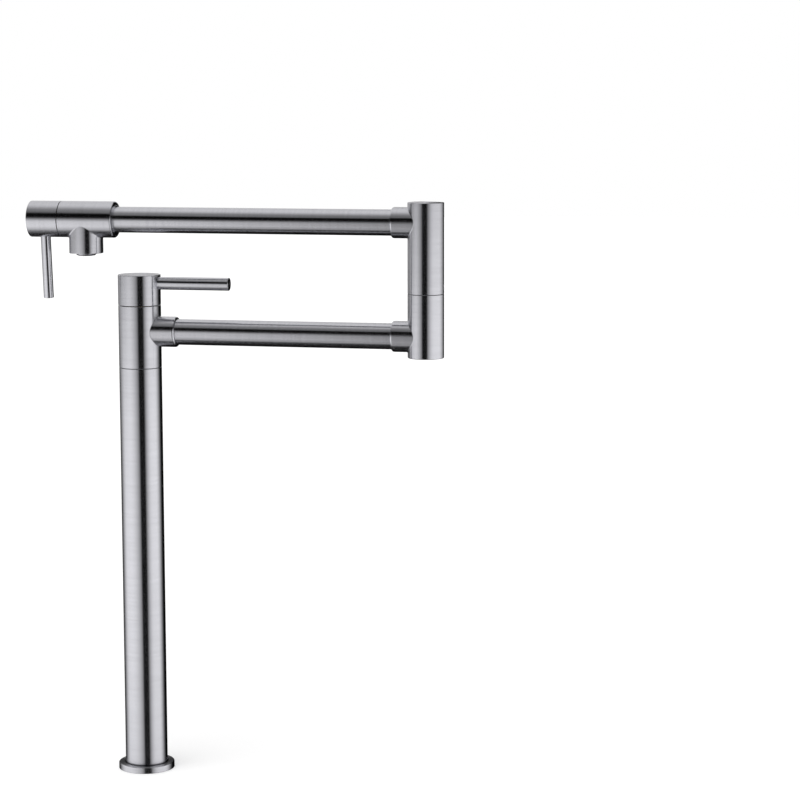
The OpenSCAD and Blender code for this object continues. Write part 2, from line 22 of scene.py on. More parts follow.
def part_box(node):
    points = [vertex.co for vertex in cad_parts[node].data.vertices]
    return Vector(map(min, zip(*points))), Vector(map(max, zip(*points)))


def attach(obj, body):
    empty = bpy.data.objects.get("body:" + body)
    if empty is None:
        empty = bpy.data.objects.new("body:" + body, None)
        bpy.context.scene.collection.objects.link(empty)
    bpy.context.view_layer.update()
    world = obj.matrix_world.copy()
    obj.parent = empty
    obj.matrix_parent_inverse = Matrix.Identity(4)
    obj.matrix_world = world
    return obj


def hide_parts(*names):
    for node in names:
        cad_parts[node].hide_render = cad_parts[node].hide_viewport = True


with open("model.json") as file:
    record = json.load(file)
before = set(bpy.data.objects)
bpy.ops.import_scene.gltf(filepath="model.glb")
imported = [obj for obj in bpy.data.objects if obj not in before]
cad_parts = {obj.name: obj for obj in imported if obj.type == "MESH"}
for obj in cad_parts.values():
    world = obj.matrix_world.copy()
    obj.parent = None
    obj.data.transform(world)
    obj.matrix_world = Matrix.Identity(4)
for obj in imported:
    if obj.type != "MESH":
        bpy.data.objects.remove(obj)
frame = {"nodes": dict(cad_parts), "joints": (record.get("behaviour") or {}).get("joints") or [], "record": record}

Array = NDArray[np.float64]
Triple = tuple[float, float, float]
Corner = Triple
Circle = tuple[float, Array]
Socket = bpy.types.NodeSocket
Feed = float | Triple | Socket
Inputs = dict[str | int, Feed]

LOG = logging.getLogger("pot_filler")
MM = 0.001
QUARTER = math.pi / 2
TO_RIGHT = (1.0, 0.0, 0.0)
UPWARDS = (0.0, 0.0, 1.0)
UV_NAME = "lay"
WEAR_AND_SHADE_NAME = "wear"
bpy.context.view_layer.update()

# Fineness of the surfaces: columns over half a turn, height of a wall's rows, and counts of rows

HALF = 48
TURN = np.linspace(-QUARTER, 1.5 * math.pi, 2 * HALF + 1)
ROW_HEIGHT = 2.5
WALL_ROWS = 11
BLEND_ROWS = 7
SIDE_ROWS = 4
THREAD_ROWS = 10

# Roundings of edges: none, a slight and a fine one, an outer edge's and a lead-in's

SHARP = 0.0
SLIGHT = 0.05
FINE = 0.1
EDGE = 0.2
LEAD = 0.3


def lowest(node: str, axis: str) -> float:
    """Lowest x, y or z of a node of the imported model, in millimetres."""
    return round(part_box(node)[0]["xyz".index(axis)] / MM, 2)


def highest(node: str, axis: str) -> float:
    """Highest x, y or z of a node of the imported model, in millimetres."""
    return round(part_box(node)[1]["xyz".index(axis)] / MM, 2)


def joint_at(joint: str) -> Array:
    """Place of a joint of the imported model, in millimetres."""
    spots = {j["name"]: j.get("pos_m", (0, 0, 0)) for j in frame["joints"]}
    return np.round(np.array(spots[joint], float) / MM, 2)


FIT = 0.05
TUBE_RADIUS = round((highest("upper_arm_tube", "z") - lowest("upper_arm_tube", "z")) / 2, 2)
LOWER_ARM = lowest("lower_arm_tube", "z") + TUBE_RADIUS
UPPER_ARM = lowest("upper_arm_tube", "z") + TUBE_RADIUS
WATER = 8.0


# Geometry


def polar(radius: Array | float, angle: Array, height: Array | float) -> Array:
    """Points from radius, angle and height: radius times cosine, radius times sine, and the height."""
    return np.stack(np.broadcast_arrays(radius * np.cos(angle), radius * np.sin(angle), height), -1)


@dataclass(frozen=True)
class Place:
    """Axes that a surface is worked out on: out and side span its round section, along is its axis."""

    origin: Triple = (0.0, 0.0, 0.0)
    out: Triple = TO_RIGHT
    along: Triple = UPWARDS

    def basis(self) -> Array:
        """Rows are the directions out, side and along, which make a right-handed set."""
        return np.array([self.out, np.cross(self.along, self.out), self.along], float)

    def points(self, local: Array) -> Array:
        """Points given along out, side and along, in the model's frame."""
        return np.array(self.origin, float) + local @ self.basis()

    def headings(self, local: Array) -> Array:
        """Directions given along out, side and along, in the model's frame."""
        return local @ self.basis()

    def facing_back(self) -> "Place":
        """The same axis with out turned half round."""
        return Place(self.origin, tuple(-np.array(self.out)), self.along)

    def aside(self, height: float) -> "Place":
        """Axes of a side opening at a height: its axis is out, and its angles start at side."""
        rows = self.basis()
        return Place(tuple(np.array(self.origin) + height * rows[2]), tuple(rows[1]), tuple(rows[0]))


@dataclass
class Skin:
    """A stretch of surface with its own normals.

    Attributes:
        points: Corners, one row each, in millimetres.
        normals: Outward direction at each corner.
        lay: Distance along the brushed surface's axis and distance round it.
        wear: 1 on a rounded edge or a faced end, where the metal is smoother, down to -1 in a join, which is
            darkened as painted shade, and 0 elsewhere.
        faces: Four corners each; a triangle repeats its last corner.
    """

    points: Array
    normals: Array
    lay: Array
    wear: Array
    faces: NDArray[np.int64]

    @staticmethod
    def grid(
        place: Place, points: Array, normals: Array, along: Array, around: Array, wear: Array | float = 0.0
    ) -> "Skin":
        """Joins a grid of points into four-cornered faces that look the way the normals point.

        Args:
            place: Axes that the points and normals are given on.
            points: Rows by columns by 3.
            normals: Directions of the same shape.
            along: Distance along the axis, for each row or each point.
            around: Distance round the axis, for each column or each point.
            wear: The smoothness of each row, or of all of them; below 0 the painted shade of a join.

        Returns:
            The skin of that grid.
        """
        rows, columns = points.shape[:2]
        index = np.arange(rows * columns).reshape(rows, columns)
        faces = np.stack([index[:-1, :-1], index[1:, :-1], index[1:, 1:], index[:-1, 1:]], -1).reshape(-1, 4)
        along, around, wear = (np.broadcast_to(v, (rows, columns)).ravel() for v in (along, around, wear))
        points, normals = place.points(points).reshape(-1, 3), place.headings(normals).reshape(-1, 3)
        return Skin(points, normals, np.stack([along, around], 1), wear, faces).faced()

    def faced(self) -> "Skin":
        """Turns all faces round if they look against the normals.

        Returns:
            The same skin.
        """
        a, b, c, d = (self.points[self.faces[:, i]] for i in range(4))
        looking = np.cross(c - a, d - b)
        flat = np.linalg.norm(looking, axis=1, keepdims=True) <= 1e-12
        looking = np.where(flat, np.cross(b - a, c - a), looking)
        if (looking * self.normals[self.faces[:, 0]]).sum() < 0:
            self.faces = self.faces[:, ::-1].copy()
        return self


@dataclass(frozen=True)
class Outline:
    """Half a section through a turned piece, with a rounded arc at every corner.

    Attributes:
        corners: Radius, height and rounding of each corner, in the order that climbs the outside.
        closed: Whether the last corner joins the first.
        steps: Number of steps over each rounded arc.
        faced: Whether its flat ends are finished as smooth as its rounded edges.
        join: Radius, height and reach of a join, which is darkened with painted shade.
    """

    corners: tuple[Corner, ...]
    closed: bool = False
    steps: int = 4
    faced: bool = False
    join: Corner | None = None

    def samples(self) -> tuple[Array, Array, Array, Array]:
        """Works out the rounded line.

        Formula: at a corner between the directions d and e the line leaves d at the
        rounding times the tangent of half the turn before the corner, and follows an
        arc whose normal turns evenly from d's to e's; the normal of a straight
        stretch (dr, dh) is (dh, -dr).

        Returns:
            Points as (radius, height), their normals, the distance along the line
            and the wear and painted join shade: 1 on the arcs and on faced ends, falling to -1 at a join.
        """
        spots = np.array(self.corners, float)
        here = spots[:, :2]
        ahead = np.roll(here, -1, axis=0) - here
        ahead /= np.maximum(np.linalg.norm(ahead, axis=1, keepdims=True), 1e-12)
        behind = np.roll(ahead, 1, axis=0)
        rounding = spots[:, 2].copy()
        if not self.closed:
            behind[0] = ahead[0]
            ahead[-1] = behind[-1]
            rounding[[0, -1]] = 0
        turn = np.arctan2(behind[:, 0] * ahead[:, 1] - behind[:, 1] * ahead[:, 0], (behind * ahead).sum(1))
        before = np.stack([behind[:, 1], -behind[:, 0]], 1)
        hand = np.where(turn < 0, -1.0, 1.0)[:, None]
        start = here - behind * (rounding * np.tan(np.abs(turn) / 2))[:, None]
        middle = start - hand * rounding[:, None] * before
        share = np.linspace(0, 1, self.steps + 1)
        angle = turn[:, None] * share[None, :]
        cos, sin = np.cos(angle)[..., None], np.sin(angle)[..., None]
        sideways = np.stack([-before[:, 1], before[:, 0]], 1)
        normals = before[:, None, :] * cos + sideways[:, None, :] * sin
        points = middle[:, None, :] + hand[:, None, :] * rounding[:, None, None] * normals
        keep = np.ones(points.shape[:2], bool)
        keep[rounding == 0, 1:] = False
        wear = np.where((rounding[:, None] > 0) & (hand > 0), np.sin(math.pi * share)[None, :], 0.0)
        if self.faced:
            wear = np.maximum(wear, np.abs(normals[..., 1]) > 0.999)
        points, normals, wear = points[keep], normals[keep], wear[keep]
        if self.join:
            away = np.linalg.norm(points - np.array(self.join[:2]), axis=1) / self.join[2]
            # Painted shade: towards a join the value falls to -1, which darkens the metal's colour.
            wear = np.where(away < 1, away - 1, wear)
        if self.closed:
            points, normals, wear = (np.concatenate([x, x[:1]]) for x in (points, normals, wear))
        run = np.concatenate([[0], np.cumsum(np.linalg.norm(np.diff(points, axis=0), axis=1))])
        return points, normals, run + points[0, 1], wear


def turned(outline: Outline, place: Place, angles: Array = TURN) -> Skin:
    """Turns an outline about a place's axis.

    Formula: a point at radius r and height h goes to r times the cosine of the
    angle along out, r times its sine along side, and h along the axis.

    Args:
        outline: The section.
        place: The axes that it is turned on.
        angles: Angles of the columns, which come back to the first one.

    Returns:
        The turned skin.
    """
    points, normals, run, wear = outline.samples()
    swept, headings = (polar(v[:, :1], angles, v[:, 1:]) for v in (points, normals))
    reach = float(points[:, 0].max())
    return Skin.grid(place, swept, headings, run[:, None], angles * reach, wear[:, None])


def zipped(place: Place, height: float, inner: Circle, outer: Circle, up: bool) -> Skin:
    """A flat ring between two circles whose corners stand at different angles.

    Formula: the corners of both circles are taken in the order of their angles,
    and each makes a triangle with its own circle's corner before it and the
    corner last passed on the other circle.

    Args:
        place: The ring's axes.
        height: Height of its plane.
        inner: Radius and angles of the inner circle.
        outer: Radius and angles of the outer circle.
        up: Whether it faces along the axis or against it.

    Returns:
        The flat skin.
    """
    ring_a, ring_b = (np.sort(np.mod(angles[:-1], 2 * math.pi)) for _, angles in (inner, outer))
    m, n = len(ring_a), len(ring_b)
    angles = np.concatenate([ring_a, ring_b])
    radii = np.concatenate([np.full(m, inner[0]), np.full(n, outer[0])])
    order = np.argsort(angles, kind="stable")
    from_a = order < m
    last_a = (np.cumsum(from_a) - 1) % m
    last_b = (np.cumsum(~from_a) - 1) % n + m
    before = np.where(from_a, (order - 1) % m, (order - m - 1) % n + m)
    other = np.where(from_a, last_b, last_a)
    faces = np.stack([before, order, other, other], 1)
    points = place.points(polar(radii, angles, height))
    normals = place.headings(np.broadcast_to([0.0, 0.0, 1.0 if up else -1.0], points.shape))
    skin = Skin(points, normals, np.stack([radii, angles * outer[0]], 1), np.zeros(m + n), faces)
    a, b, c = (points[faces[:, i]] for i in range(3))
    against = (np.cross(b - a, c - a) * normals[faces[:, 0]]).sum(1) < 0
    skin.faces[against] = faces[against][:, [1, 0, 2, 2]]
    return skin


class Side(Enum):
    """What a side opening of a round wall leads into."""

    STUB = "a stub that stands out of an outer wall"
    HOLE = "a hole in an outer wall"
    PORT = "a hole that leaves a bore"


@dataclass(frozen=True)
class Opening:
    """A round side opening in a wall.

    Attributes:
        side: What it leads into.
        height: Its axis's height on the wall's axis.
        radius: Its radius.
        blend: Radius of the ball that rolls round the corner between both walls.
    """

    side: Side
    height: float
    radius: float
    blend: float


@dataclass(frozen=True)
class Mouth:
    """Where an opening's blend ends.

    Attributes:
        place: The opening's axes.
        angles: Angles of the points of its ring.
        starts: Distance of each from the wall's axis.
        radius: The opening's radius.
    """

    place: Place
    angles: Array
    starts: Array
    radius: float

    def tube_to(self, end: float, inward: bool) -> Skin:
        """A round side wall from the blend to a flat ring.

        Formula: rows go in equal shares from the blend's uneven end to the ring.

        Args:
            end: Distance of the ring from the wall's axis.
            inward: Whether the side wall faces its own axis, as a bore does.

        Returns:
            The side wall's skin.
        """
        share = np.linspace(0, 1, SIDE_ROWS)[:, None]
        along = self.starts * (1 - share) + end * share
        normals = polar(1.0, self.angles, 0 * along) * (-1.0 if inward else 1.0)
        points = polar(self.radius, self.angles, along)
        return Skin.grid(self.place, points, normals, along, self.angles * self.radius)


@dataclass(frozen=True)
class Wall:
    """A round wall between two heights, made in two halves that may each have an opening.

    Attributes:
        place: The wall's axes; the front opening looks along out, the back one against it.
        radius: The wall's radius.
        low: Height of its lower ring.
        high: Height of its upper ring.
        inward: Whether it faces its own axis, as a bore does.
        front: The opening in the half round out.
        back: The opening in the other half.
    """

    place: Place
    radius: float
    low: float
    high: float
    inward: bool = False
    front: Opening | None = None
    back: Opening | None = None

    def on_wall(self, place: Place, angle: Array, height: Array) -> Skin:
        """A stretch of the wall, from a grid of angles and heights on these axes."""
        normals = polar(1.0, angle, 0 * height) * (-1.0 if self.inward else 1.0)
        return Skin.grid(place, polar(self.radius, angle, height), normals, height, angle * self.radius)

    def half(self, place: Place, opening: Opening | None) -> tuple[list[Skin], Mouth | None]:
        """Makes the half round the place's out direction.

        Formula: without an opening it is a plain grid of angle and height. With one,
        the wall's grid runs from the ring where the rolling ball touches the wall to
        the half's four edges, and each of its lines is straight on the unrolled wall;
        the power brings its rows closer together near the ring. The ball's centre
        lies the blend away from both walls: at radius R + b of the wall (R - b where
        a hole cuts an outer wall) and at r + b of the opening. The blend's directions
        turn evenly from the wall's to the opening's.

        Args:
            place: Axes turned so that out looks at the half's middle.
            opening: The half's opening.

        Returns:
            The skins, and the opening's inner end.
        """
        count = max(8, int(round((self.high - self.low) / ROW_HEIGHT)))
        across = np.linspace(-QUARTER, QUARTER, HALF + 1)
        up = np.linspace(self.low, self.high, count + 1)
        if opening is None:
            return [self.on_wall(place, *np.meshgrid(across, up))], None
        side, floor, roof = np.full(count, QUARTER), np.full(HALF + 1, self.low), np.full(HALF, self.high)
        edge_angle = np.concatenate([across, side, across[-2::-1], -side])
        edge_height = np.concatenate([floor, up[1:], roof, up[-2::-1]])
        turn = np.unwrap(np.arctan2(edge_height - opening.height, edge_angle * self.radius))
        ball = opening.blend
        far = self.radius + (-ball if opening.side is Side.HOLE else ball)
        cy, cz = (opening.radius + ball) * np.cos(turn), (opening.radius + ball) * np.sin(turn)
        cx = np.sqrt(far**2 - cy**2)
        centre = np.stack([cx, cy, cz], -1)
        touch = np.stack([cx * self.radius / far, cy * self.radius / far, cz], -1)
        rim = np.stack([cx, opening.radius * np.cos(turn), opening.radius * np.sin(turn)], -1)
        share = np.linspace(0, 1, WALL_ROWS)[:, None] ** 1.5
        angle = np.arctan2(touch[:, 1], touch[:, 0]) * (1 - share) + edge_angle * share
        height = (touch[:, 2] + opening.height) * (1 - share) + edge_height * share
        first, last = (touch - centre) / ball, (rim - centre) / ball
        between = np.arccos(np.clip((first * last).sum(1), -1, 1))[:, None]
        share = np.linspace(0, 1, BLEND_ROWS)
        shares = share[:, None, None]
        heading = np.sin((1 - shares) * between) * first + np.sin(shares * between) * last
        heading /= np.linalg.norm(heading, axis=-1, keepdims=True)
        blend = Skin.grid(
            place,
            centre + ball * heading + np.array([0.0, 0.0, opening.height]),
            heading * (-1.0 if opening.side is Side.STUB else 1.0),
            (1.5 * ball * share + float(cx.mean()))[:, None],
            turn * opening.radius,
            0.0 if opening.side is Side.STUB else np.sin(math.pi * share)[:, None],
        )
        mouth = Mouth(place.aside(opening.height), turn, cx, opening.radius)
        return [self.on_wall(place, angle, height), blend], mouth

    def skins(self) -> tuple[list[Skin], Mouth | None, Mouth | None]:
        """Makes both halves.

        Returns:
            The skins, and where the front and the back opening's blends end.
        """
        ahead, front = self.half(self.place, self.front)
        behind, back = self.half(self.place.facing_back(), self.back)
        return ahead + behind, front, back


def bent_pipe(place: Place, angles: Array, start: float, bend: float, end: float) -> Skin:
    """The water way of an elbow: from a side opening inwards, then round a bend along the axis.

    Formula: the path runs from the start towards the axis, turns a quarter of a
    circle of the bend's radius, and goes on to the end height; each ring stands
    square to it, and faces the path.

    Args:
        place: The side opening's parent axes, at the height of the path's start.
        angles: Angles of the ring's corners, from side towards along.
        start: Distance from the axis at which it starts.
        bend: Radius of the bend.
        end: Height at which it ends, above the start or below it.

    Returns:
        The pipe's inner skin.
    """
    way = 1.0 if end > 0 else -1.0
    turn = np.linspace(0, QUARTER, 13)
    x = np.concatenate([[start], bend - bend * np.sin(turn), [0.0]])
    z = way * np.concatenate([[0.0], bend - bend * np.cos(turn), [abs(end)]])
    tilt = np.concatenate([[0.0], turn, [QUARTER]])[:, None]
    sin = np.sin(angles)
    heading = np.stack(np.broadcast_arrays(way * np.sin(tilt) * sin, np.cos(angles), np.cos(tilt) * sin), -1)
    points = WATER * heading + np.stack([x, np.zeros_like(x), z], 1)[:, None, :]
    run = np.concatenate([[0], np.cumsum(np.hypot(np.diff(x), np.diff(z)))])
    return Skin.grid(place, points, -heading, run[:, None], angles * WATER)


def placed(name: str, data: bpy.types.ID) -> bpy.types.Object:
    """Puts an object into the scene, at the origin.

    Args:
        name: Its name.
        data: Its mesh, light or camera.

    Returns:
        The object.
    """
    made = bpy.data.objects.new(name, data)
    bpy.context.scene.collection.objects.link(made)
    return made


def fill(data: bpy.types.bpy_prop_collection, key: str, values: Array, kind: type = np.float32) -> None:
    """Puts a whole array into one property of a mesh's points, corners or faces."""
    data.foreach_set(key, values.astype(kind).ravel())


def piece(name: str, skins: list[Skin], finish: "Finish", body: str, node: str) -> bpy.types.Object:
    """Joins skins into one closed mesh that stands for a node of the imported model.

    Corners at the same place become one, a four-cornered face with two equal
    corners becomes a triangle, and each face keeps its own skin's normals.

    Args:
        name: The piece's name.
        skins: Its surfaces.
        finish: What it is made of.
        body: The body that it moves with.
        node: The node that it stands for.

    Returns:
        The object, at the origin, with its place in its mesh.
    """
    first = np.cumsum([0] + [len(skin.points) for skin in skins])
    faces = np.concatenate([skin.faces + at for skin, at in zip(skins, first)])
    keys = ("points", "normals", "lay", "wear")
    points, normals, lay, wear = (np.concatenate([getattr(skin, key) for skin in skins]) for key in keys)
    spots = np.round(points * 1e4).astype(np.int64)
    _, source, welded = np.unique(spots, axis=0, return_index=True, return_inverse=True)
    corners = welded.reshape(-1)[faces]
    apart = corners != np.roll(corners, -1, axis=1)
    apart &= (corners[:, [0]] != corners[:, [2]]) | (np.arange(4) == 0)
    whole = apart.sum(1) >= 3
    apart, corners, faces = apart[whole], corners[whole], faces[whole]
    loops, origins, total = corners[apart], faces[apart], apart.sum(1)
    mesh = bpy.data.meshes.new(name)
    for part, count in ((mesh.vertices, len(source)), (mesh.loops, len(loops)), (mesh.polygons, len(total))):
        part.add(count)
    fill(mesh.vertices, "co", points[source] * MM)
    fill(mesh.loops, "vertex_index", loops, np.int32)
    fill(mesh.polygons, "loop_start", np.cumsum(total) - total, np.int32)
    fill(mesh.polygons, "loop_total", total, np.int32)
    fill(mesh.polygons, "use_smooth", np.ones(len(total)), bool)
    mesh.update(calc_edges=True)
    if mesh.validate():
        LOG.warning("%s had faces that were not sound", name)
    fill(mesh.uv_layers.new(name=UV_NAME).data, "uv", lay[origins] * MM)
    fill(mesh.attributes.new(WEAR_AND_SHADE_NAME, "FLOAT", "CORNER").data, "value", wear[origins])
    mesh.normals_split_custom_set(normals[origins].astype(np.float32))
    used = np.zeros(len(loops), np.int32)
    mesh.loops.foreach_get("edge_index", used)
    open_edges = int((np.bincount(used, minlength=len(mesh.edges)) != 2).sum())
    obj = placed(name, mesh)
    mesh.materials.append(finish.material())
    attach(obj, body)
    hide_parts(node)
    LOG.info("%s: %d faces, %d open edges, for %s on %s", name, len(total), open_edges, node, body)
    return obj


# Finishes


class Nodes:
    """A node tree, with short calls that add and join its nodes."""

    def __init__(self, tree: bpy.types.NodeTree) -> None:
        """Takes the tree that the calls work on."""
        self.tree = tree

    def feed(self, node: bpy.types.Node, inputs: Inputs) -> bpy.types.Node:
        """Gives a node's inputs their values.

        Args:
            node: The node.
            inputs: Values or sockets, by the input's name or place.

        Returns:
            The same node.
        """
        for key, value in inputs.items():
            if isinstance(value, Socket):
                self.tree.links.new(value, node.inputs[key])
            else:
                node.inputs[key].default_value = value
        return node

    def node(self, kind: str, inputs: Inputs | None = None, **settings: object) -> bpy.types.Node:
        """Adds a node.

        Args:
            kind: The node's type, without its first words.
            inputs: Values or sockets for its inputs, by name or place.
            settings: Properties of the node.

        Returns:
            The new node.
        """
        made = self.tree.nodes.new("ShaderNode" + kind)
        for name, value in settings.items():
            setattr(made, name, value)
        return self.feed(made, inputs or {})

    def pair(self, how: str, a: Feed, b: Feed) -> Socket:
        """One number from two, by an operation such as ADD."""
        return self.node("Math", {0: a, 1: b}, operation=how).outputs[0]

    def sum(self, *terms: Feed) -> Socket:
        """Numbers added one after the other."""
        return reduce(lambda a, b: self.pair("ADD", a, b), terms)

    def times(self, a: Feed, b: Feed) -> Socket:
        """One number times another."""
        return self.pair("MULTIPLY", a, b)

    def spread(self, value: Feed, low: float, high: float) -> Socket:
        """A number from 0 to 1 carried over to the range from low to high."""
        return self.node("MapRange", {"Value": value, "To Min": low, "To Max": high}).outputs[0]

    def share(self, value: Feed, low: float, high: float) -> Socket:
        """A number in the range from low to high carried over to 0 to 1."""
        return self.node("MapRange", {"Value": value, "From Min": low, "From Max": high}).outputs[0]

    def attribute(self, name: str) -> Socket:
        """An attribute of the mesh, as a number."""
        return self.node("Attribute", attribute_name=name).outputs["Fac"]

    def noise(self, scale: float | Triple, detail: float = 2.0, w: Socket | None = None) -> Socket:
        """A cloud on object coordinates.

        Args:
            scale: Features per metre, in all directions or along X, Y and Z.
            detail: Number of finer layers.
            w: A fourth coordinate that the cloud also changes with.

        Returns:
            The cloud's value, about 0.5 with most of it between 0.3 and 0.7.
        """
        spot = self.node("TexCoord").outputs["Object"]
        scales = scale if isinstance(scale, tuple) else (scale, scale, scale)
        moved = self.node("Mapping", {"Vector": spot, "Scale": scales}).outputs[0]
        inputs = {"Vector": moved, "Scale": 1.0, "Detail": detail, "Roughness": 0.55}
        if w is not None:
            inputs["W"] = w
        return self.node("TexNoise", inputs, noise_dimensions="3D" if w is None else "4D").outputs["Fac"]

    def mixed(self, share: Feed, a: Triple | Socket, b: Triple | Socket, how: str = "MIX") -> Socket:
        """One colour from two, by the second one's share from 0 to 1."""
        a, b = (c if isinstance(c, Socket) else (*c, 1.0) for c in (a, b))
        return self.node("Mix", {0: share, 6: a, 7: b}, data_type="RGBA", blend_type=how).outputs[2]

    def bump(self, strength: float, distance: float, height: Socket) -> Socket:
        """Normals tilted by the slope of a height."""
        return self.node("Bump", {"Strength": strength, "Distance": distance, "Height": height}).outputs[0]


class Shader(Nodes):
    """A material with its node tree."""

    def __init__(self, name: str) -> None:
        """Starts a material.

        Args:
            name: The material's name.
        """
        self.made = bpy.data.materials.new(name)
        self.made.use_nodes = True
        super().__init__(self.made.node_tree)
        self.surface = self.tree.nodes["Principled BSDF"]

    def show(self, surface: Socket) -> None:
        """Makes a shader's output the material's surface."""
        self.tree.links.new(surface, self.tree.nodes["Material Output"].inputs["Surface"])


@dataclass(frozen=True)
class Finish:
    """What every finish has: the material slot that it stands for, and its colour."""

    slot: str
    colour: Triple

    @cache
    def material(self) -> bpy.types.Material:
        """Makes the finish's material when it is first asked for.

        Returns:
            The material.
        """
        shader = Shader(self.slot + "_finish")
        shader.feed(shader.surface, self.inputs(shader))
        return shader.made

    def inputs(self, shader: Shader) -> Inputs:
        """The surface's inputs."""
        raise NotImplementedError


@dataclass(frozen=True)
class BrushedMetal(Finish):
    """Metal brushed round its pieces, with lines, bands, smudges, polished edges and painted shade in its joins.

    Attributes:
        roughness: Its middle roughness.
        anisotropy: How much the brushing draws reflections out.
        line: Change of the clouds per metre across the lines.
        depth: Depth of the lines, in metres.
        dull: Share of the colour in the dark lines and bands.
        bright: The same in the light ones.
        join_shade: Share of the metal's colour left in the painted shade of its joins.
        polish: How much smoother a worn edge is.
    """

    roughness: float = 0.23
    anisotropy: float = 1.0
    line: float = 5200.0
    depth: float = 0.000012
    dull: float = 0.87
    bright: float = 1.13
    # Painted shade: the share of the colour left at the darkest part of a join.
    join_shade: float = 0.24
    polish: float = 0.09

    def inputs(self, shader: Shader) -> Inputs:
        """Works out the surface.

        Lines follow one level of the lay: each cloud changes fast across them and
        slowly along them. The fine one gives lines, the band one soft bands, and the
        broad one slow waves of the surface.

        Args:
            shader: The material's nodes.

        Returns:
            The surface's inputs.
        """
        lay = shader.node("UVMap", uv_map=UV_NAME).outputs[0]
        across = shader.node("SeparateXYZ", {0: lay}).outputs[0]
        fine = shader.noise(9, 3, shader.times(across, self.line))
        broad = shader.noise(5, 2, shader.times(across, self.line / 7))
        band = shader.noise(26, 3, shader.times(across, self.line / 12))
        smudge = shader.noise(22, 4)
        worn_and_shaded = shader.attribute(WEAR_AND_SHADE_NAME)
        uneven = shader.sum(shader.spread(fine, -0.04, 0.04), shader.spread(smudge, -0.03, 0.03))
        tone = shader.sum(shader.times(fine, 0.3), shader.times(band, 0.7))
        shades = (self.dull, self.bright, self.join_shade)
        dull, bright, shade_colour = (tuple(shade * c for c in self.colour) for shade in shades)
        metal = shader.mixed(tone, dull, bright)
        # Painted shade: where the attribute is below -0.1, at joins, the colour is darkened, fully at -0.8.
        shade_tint = shader.mixed(shader.share(worn_and_shaded, -0.8, -0.1), shade_colour, (1.0, 1.0, 1.0))
        height = shader.sum(fine, shader.times(broad, 1.5))
        return {
            "Base Color": shader.mixed(1.0, metal, shade_tint, "MULTIPLY"),
            "Metallic": 1.0,
            "Roughness": shader.sum(uneven, self.roughness, shader.times(worn_and_shaded, -self.polish)),
            "Anisotropic": self.anisotropy,
            "Tangent": shader.node("Tangent", direction_type="UV_MAP", uv_map=UV_NAME).outputs[0],
            "Normal": shader.bump(0.5, self.depth, height),
        }


@dataclass(frozen=True)
class RawMetal(Finish):
    """Metal as it was turned, drawn or hardened: patches of tarnish, tool marks and an even grain."""

    tarnish: Triple = (0.4, 0.3, 0.15)
    roughness: float = 0.35
    marks: Triple = (40.0, 40.0, 2500.0)
    depth: float = 0.00002

    def inputs(self, shader: Shader) -> Inputs:
        """Marks are drawn out as their scales say, and tarnish gathers in soft patches.

        Args:
            shader: The material's nodes.

        Returns:
            The surface's inputs.
        """
        marks = shader.noise(self.marks, 2)
        patch = shader.noise(70, 5)
        grain = shader.noise(1500, 2)
        gloss = shader.sum(shader.spread(marks, -0.08, 0.08), shader.spread(patch, -0.1, 0.15))
        height = shader.sum(marks, shader.times(grain, 0.4))
        return {
            "Base Color": shader.mixed(shader.share(patch, 0.35, 0.75), self.colour, self.tarnish),
            "Metallic": 1.0,
            "Roughness": shader.sum(gloss, self.roughness),
            "Normal": shader.bump(0.6, self.depth, height),
        }


@dataclass(frozen=True)
class Moulded(Finish):
    """Nylon, rubber or ceramic: a mottled colour with a fine grain."""

    mottle: Triple = (0.1, 0.1, 0.1)
    roughness: float = 0.5
    grain: float = 1800.0
    depth: float = 0.00003
    coat: float = 0.0

    def inputs(self, shader: Shader) -> Inputs:
        """The mottle and the gloss change in soft patches, and the bump is the grain.

        Args:
            shader: The material's nodes.

        Returns:
            The surface's inputs.
        """
        patch = shader.noise(120, 4)
        grain = shader.noise(self.grain, 3)
        gloss = shader.sum(shader.spread(patch, -0.06, 0.06), shader.spread(grain, -0.05, 0.05))
        return {
            "Base Color": shader.mixed(patch, self.colour, self.mottle),
            "Roughness": shader.sum(gloss, self.roughness),
            "Coat Weight": self.coat,
            "Normal": shader.bump(0.7, self.depth, grain),
        }


NICKEL = BrushedMetal("brushed_nickel", (0.62, 0.622, 0.655))
BARS = replace(NICKEL, roughness=0.17)
BRASS = RawMetal("raw_brass", (0.78, 0.60, 0.32), tarnish=(0.52, 0.36, 0.17))
COPPER = RawMetal("copper_pipe", (0.80, 0.45, 0.30), (0.42, 0.22, 0.15), 0.3, marks=(900.0, 900.0, 15.0))
STEEL = RawMetal("dark_steel", (0.16, 0.16, 0.17), (0.07, 0.06, 0.055), 0.42, marks=(400.0, 400.0, 400.0))
MESH_STEEL = RawMetal(
    "screen_steel", (0.55, 0.55, 0.56), (0.4, 0.4, 0.41), 0.3, marks=(1500.0, 300.0, 300.0)
)
NYLON = Moulded("grey_nylon", (0.115, 0.115, 0.125), (0.15, 0.15, 0.16))
RUBBER = Moulded("black_rubber", (0.028, 0.028, 0.03), (0.05, 0.05, 0.05), 0.72, grain=2600.0)
CERAMIC = Moulded(
    "ceramic_disc", (0.86, 0.85, 0.81), (0.9, 0.89, 0.86), 0.22, grain=900.0, depth=0.000004, coat=0.3
)
FINISHES = {f.slot: f for f in (NICKEL, BRASS, COPPER, STEEL, MESH_STEEL, NYLON, RUBBER, CERAMIC)}


# Shapes that repeat


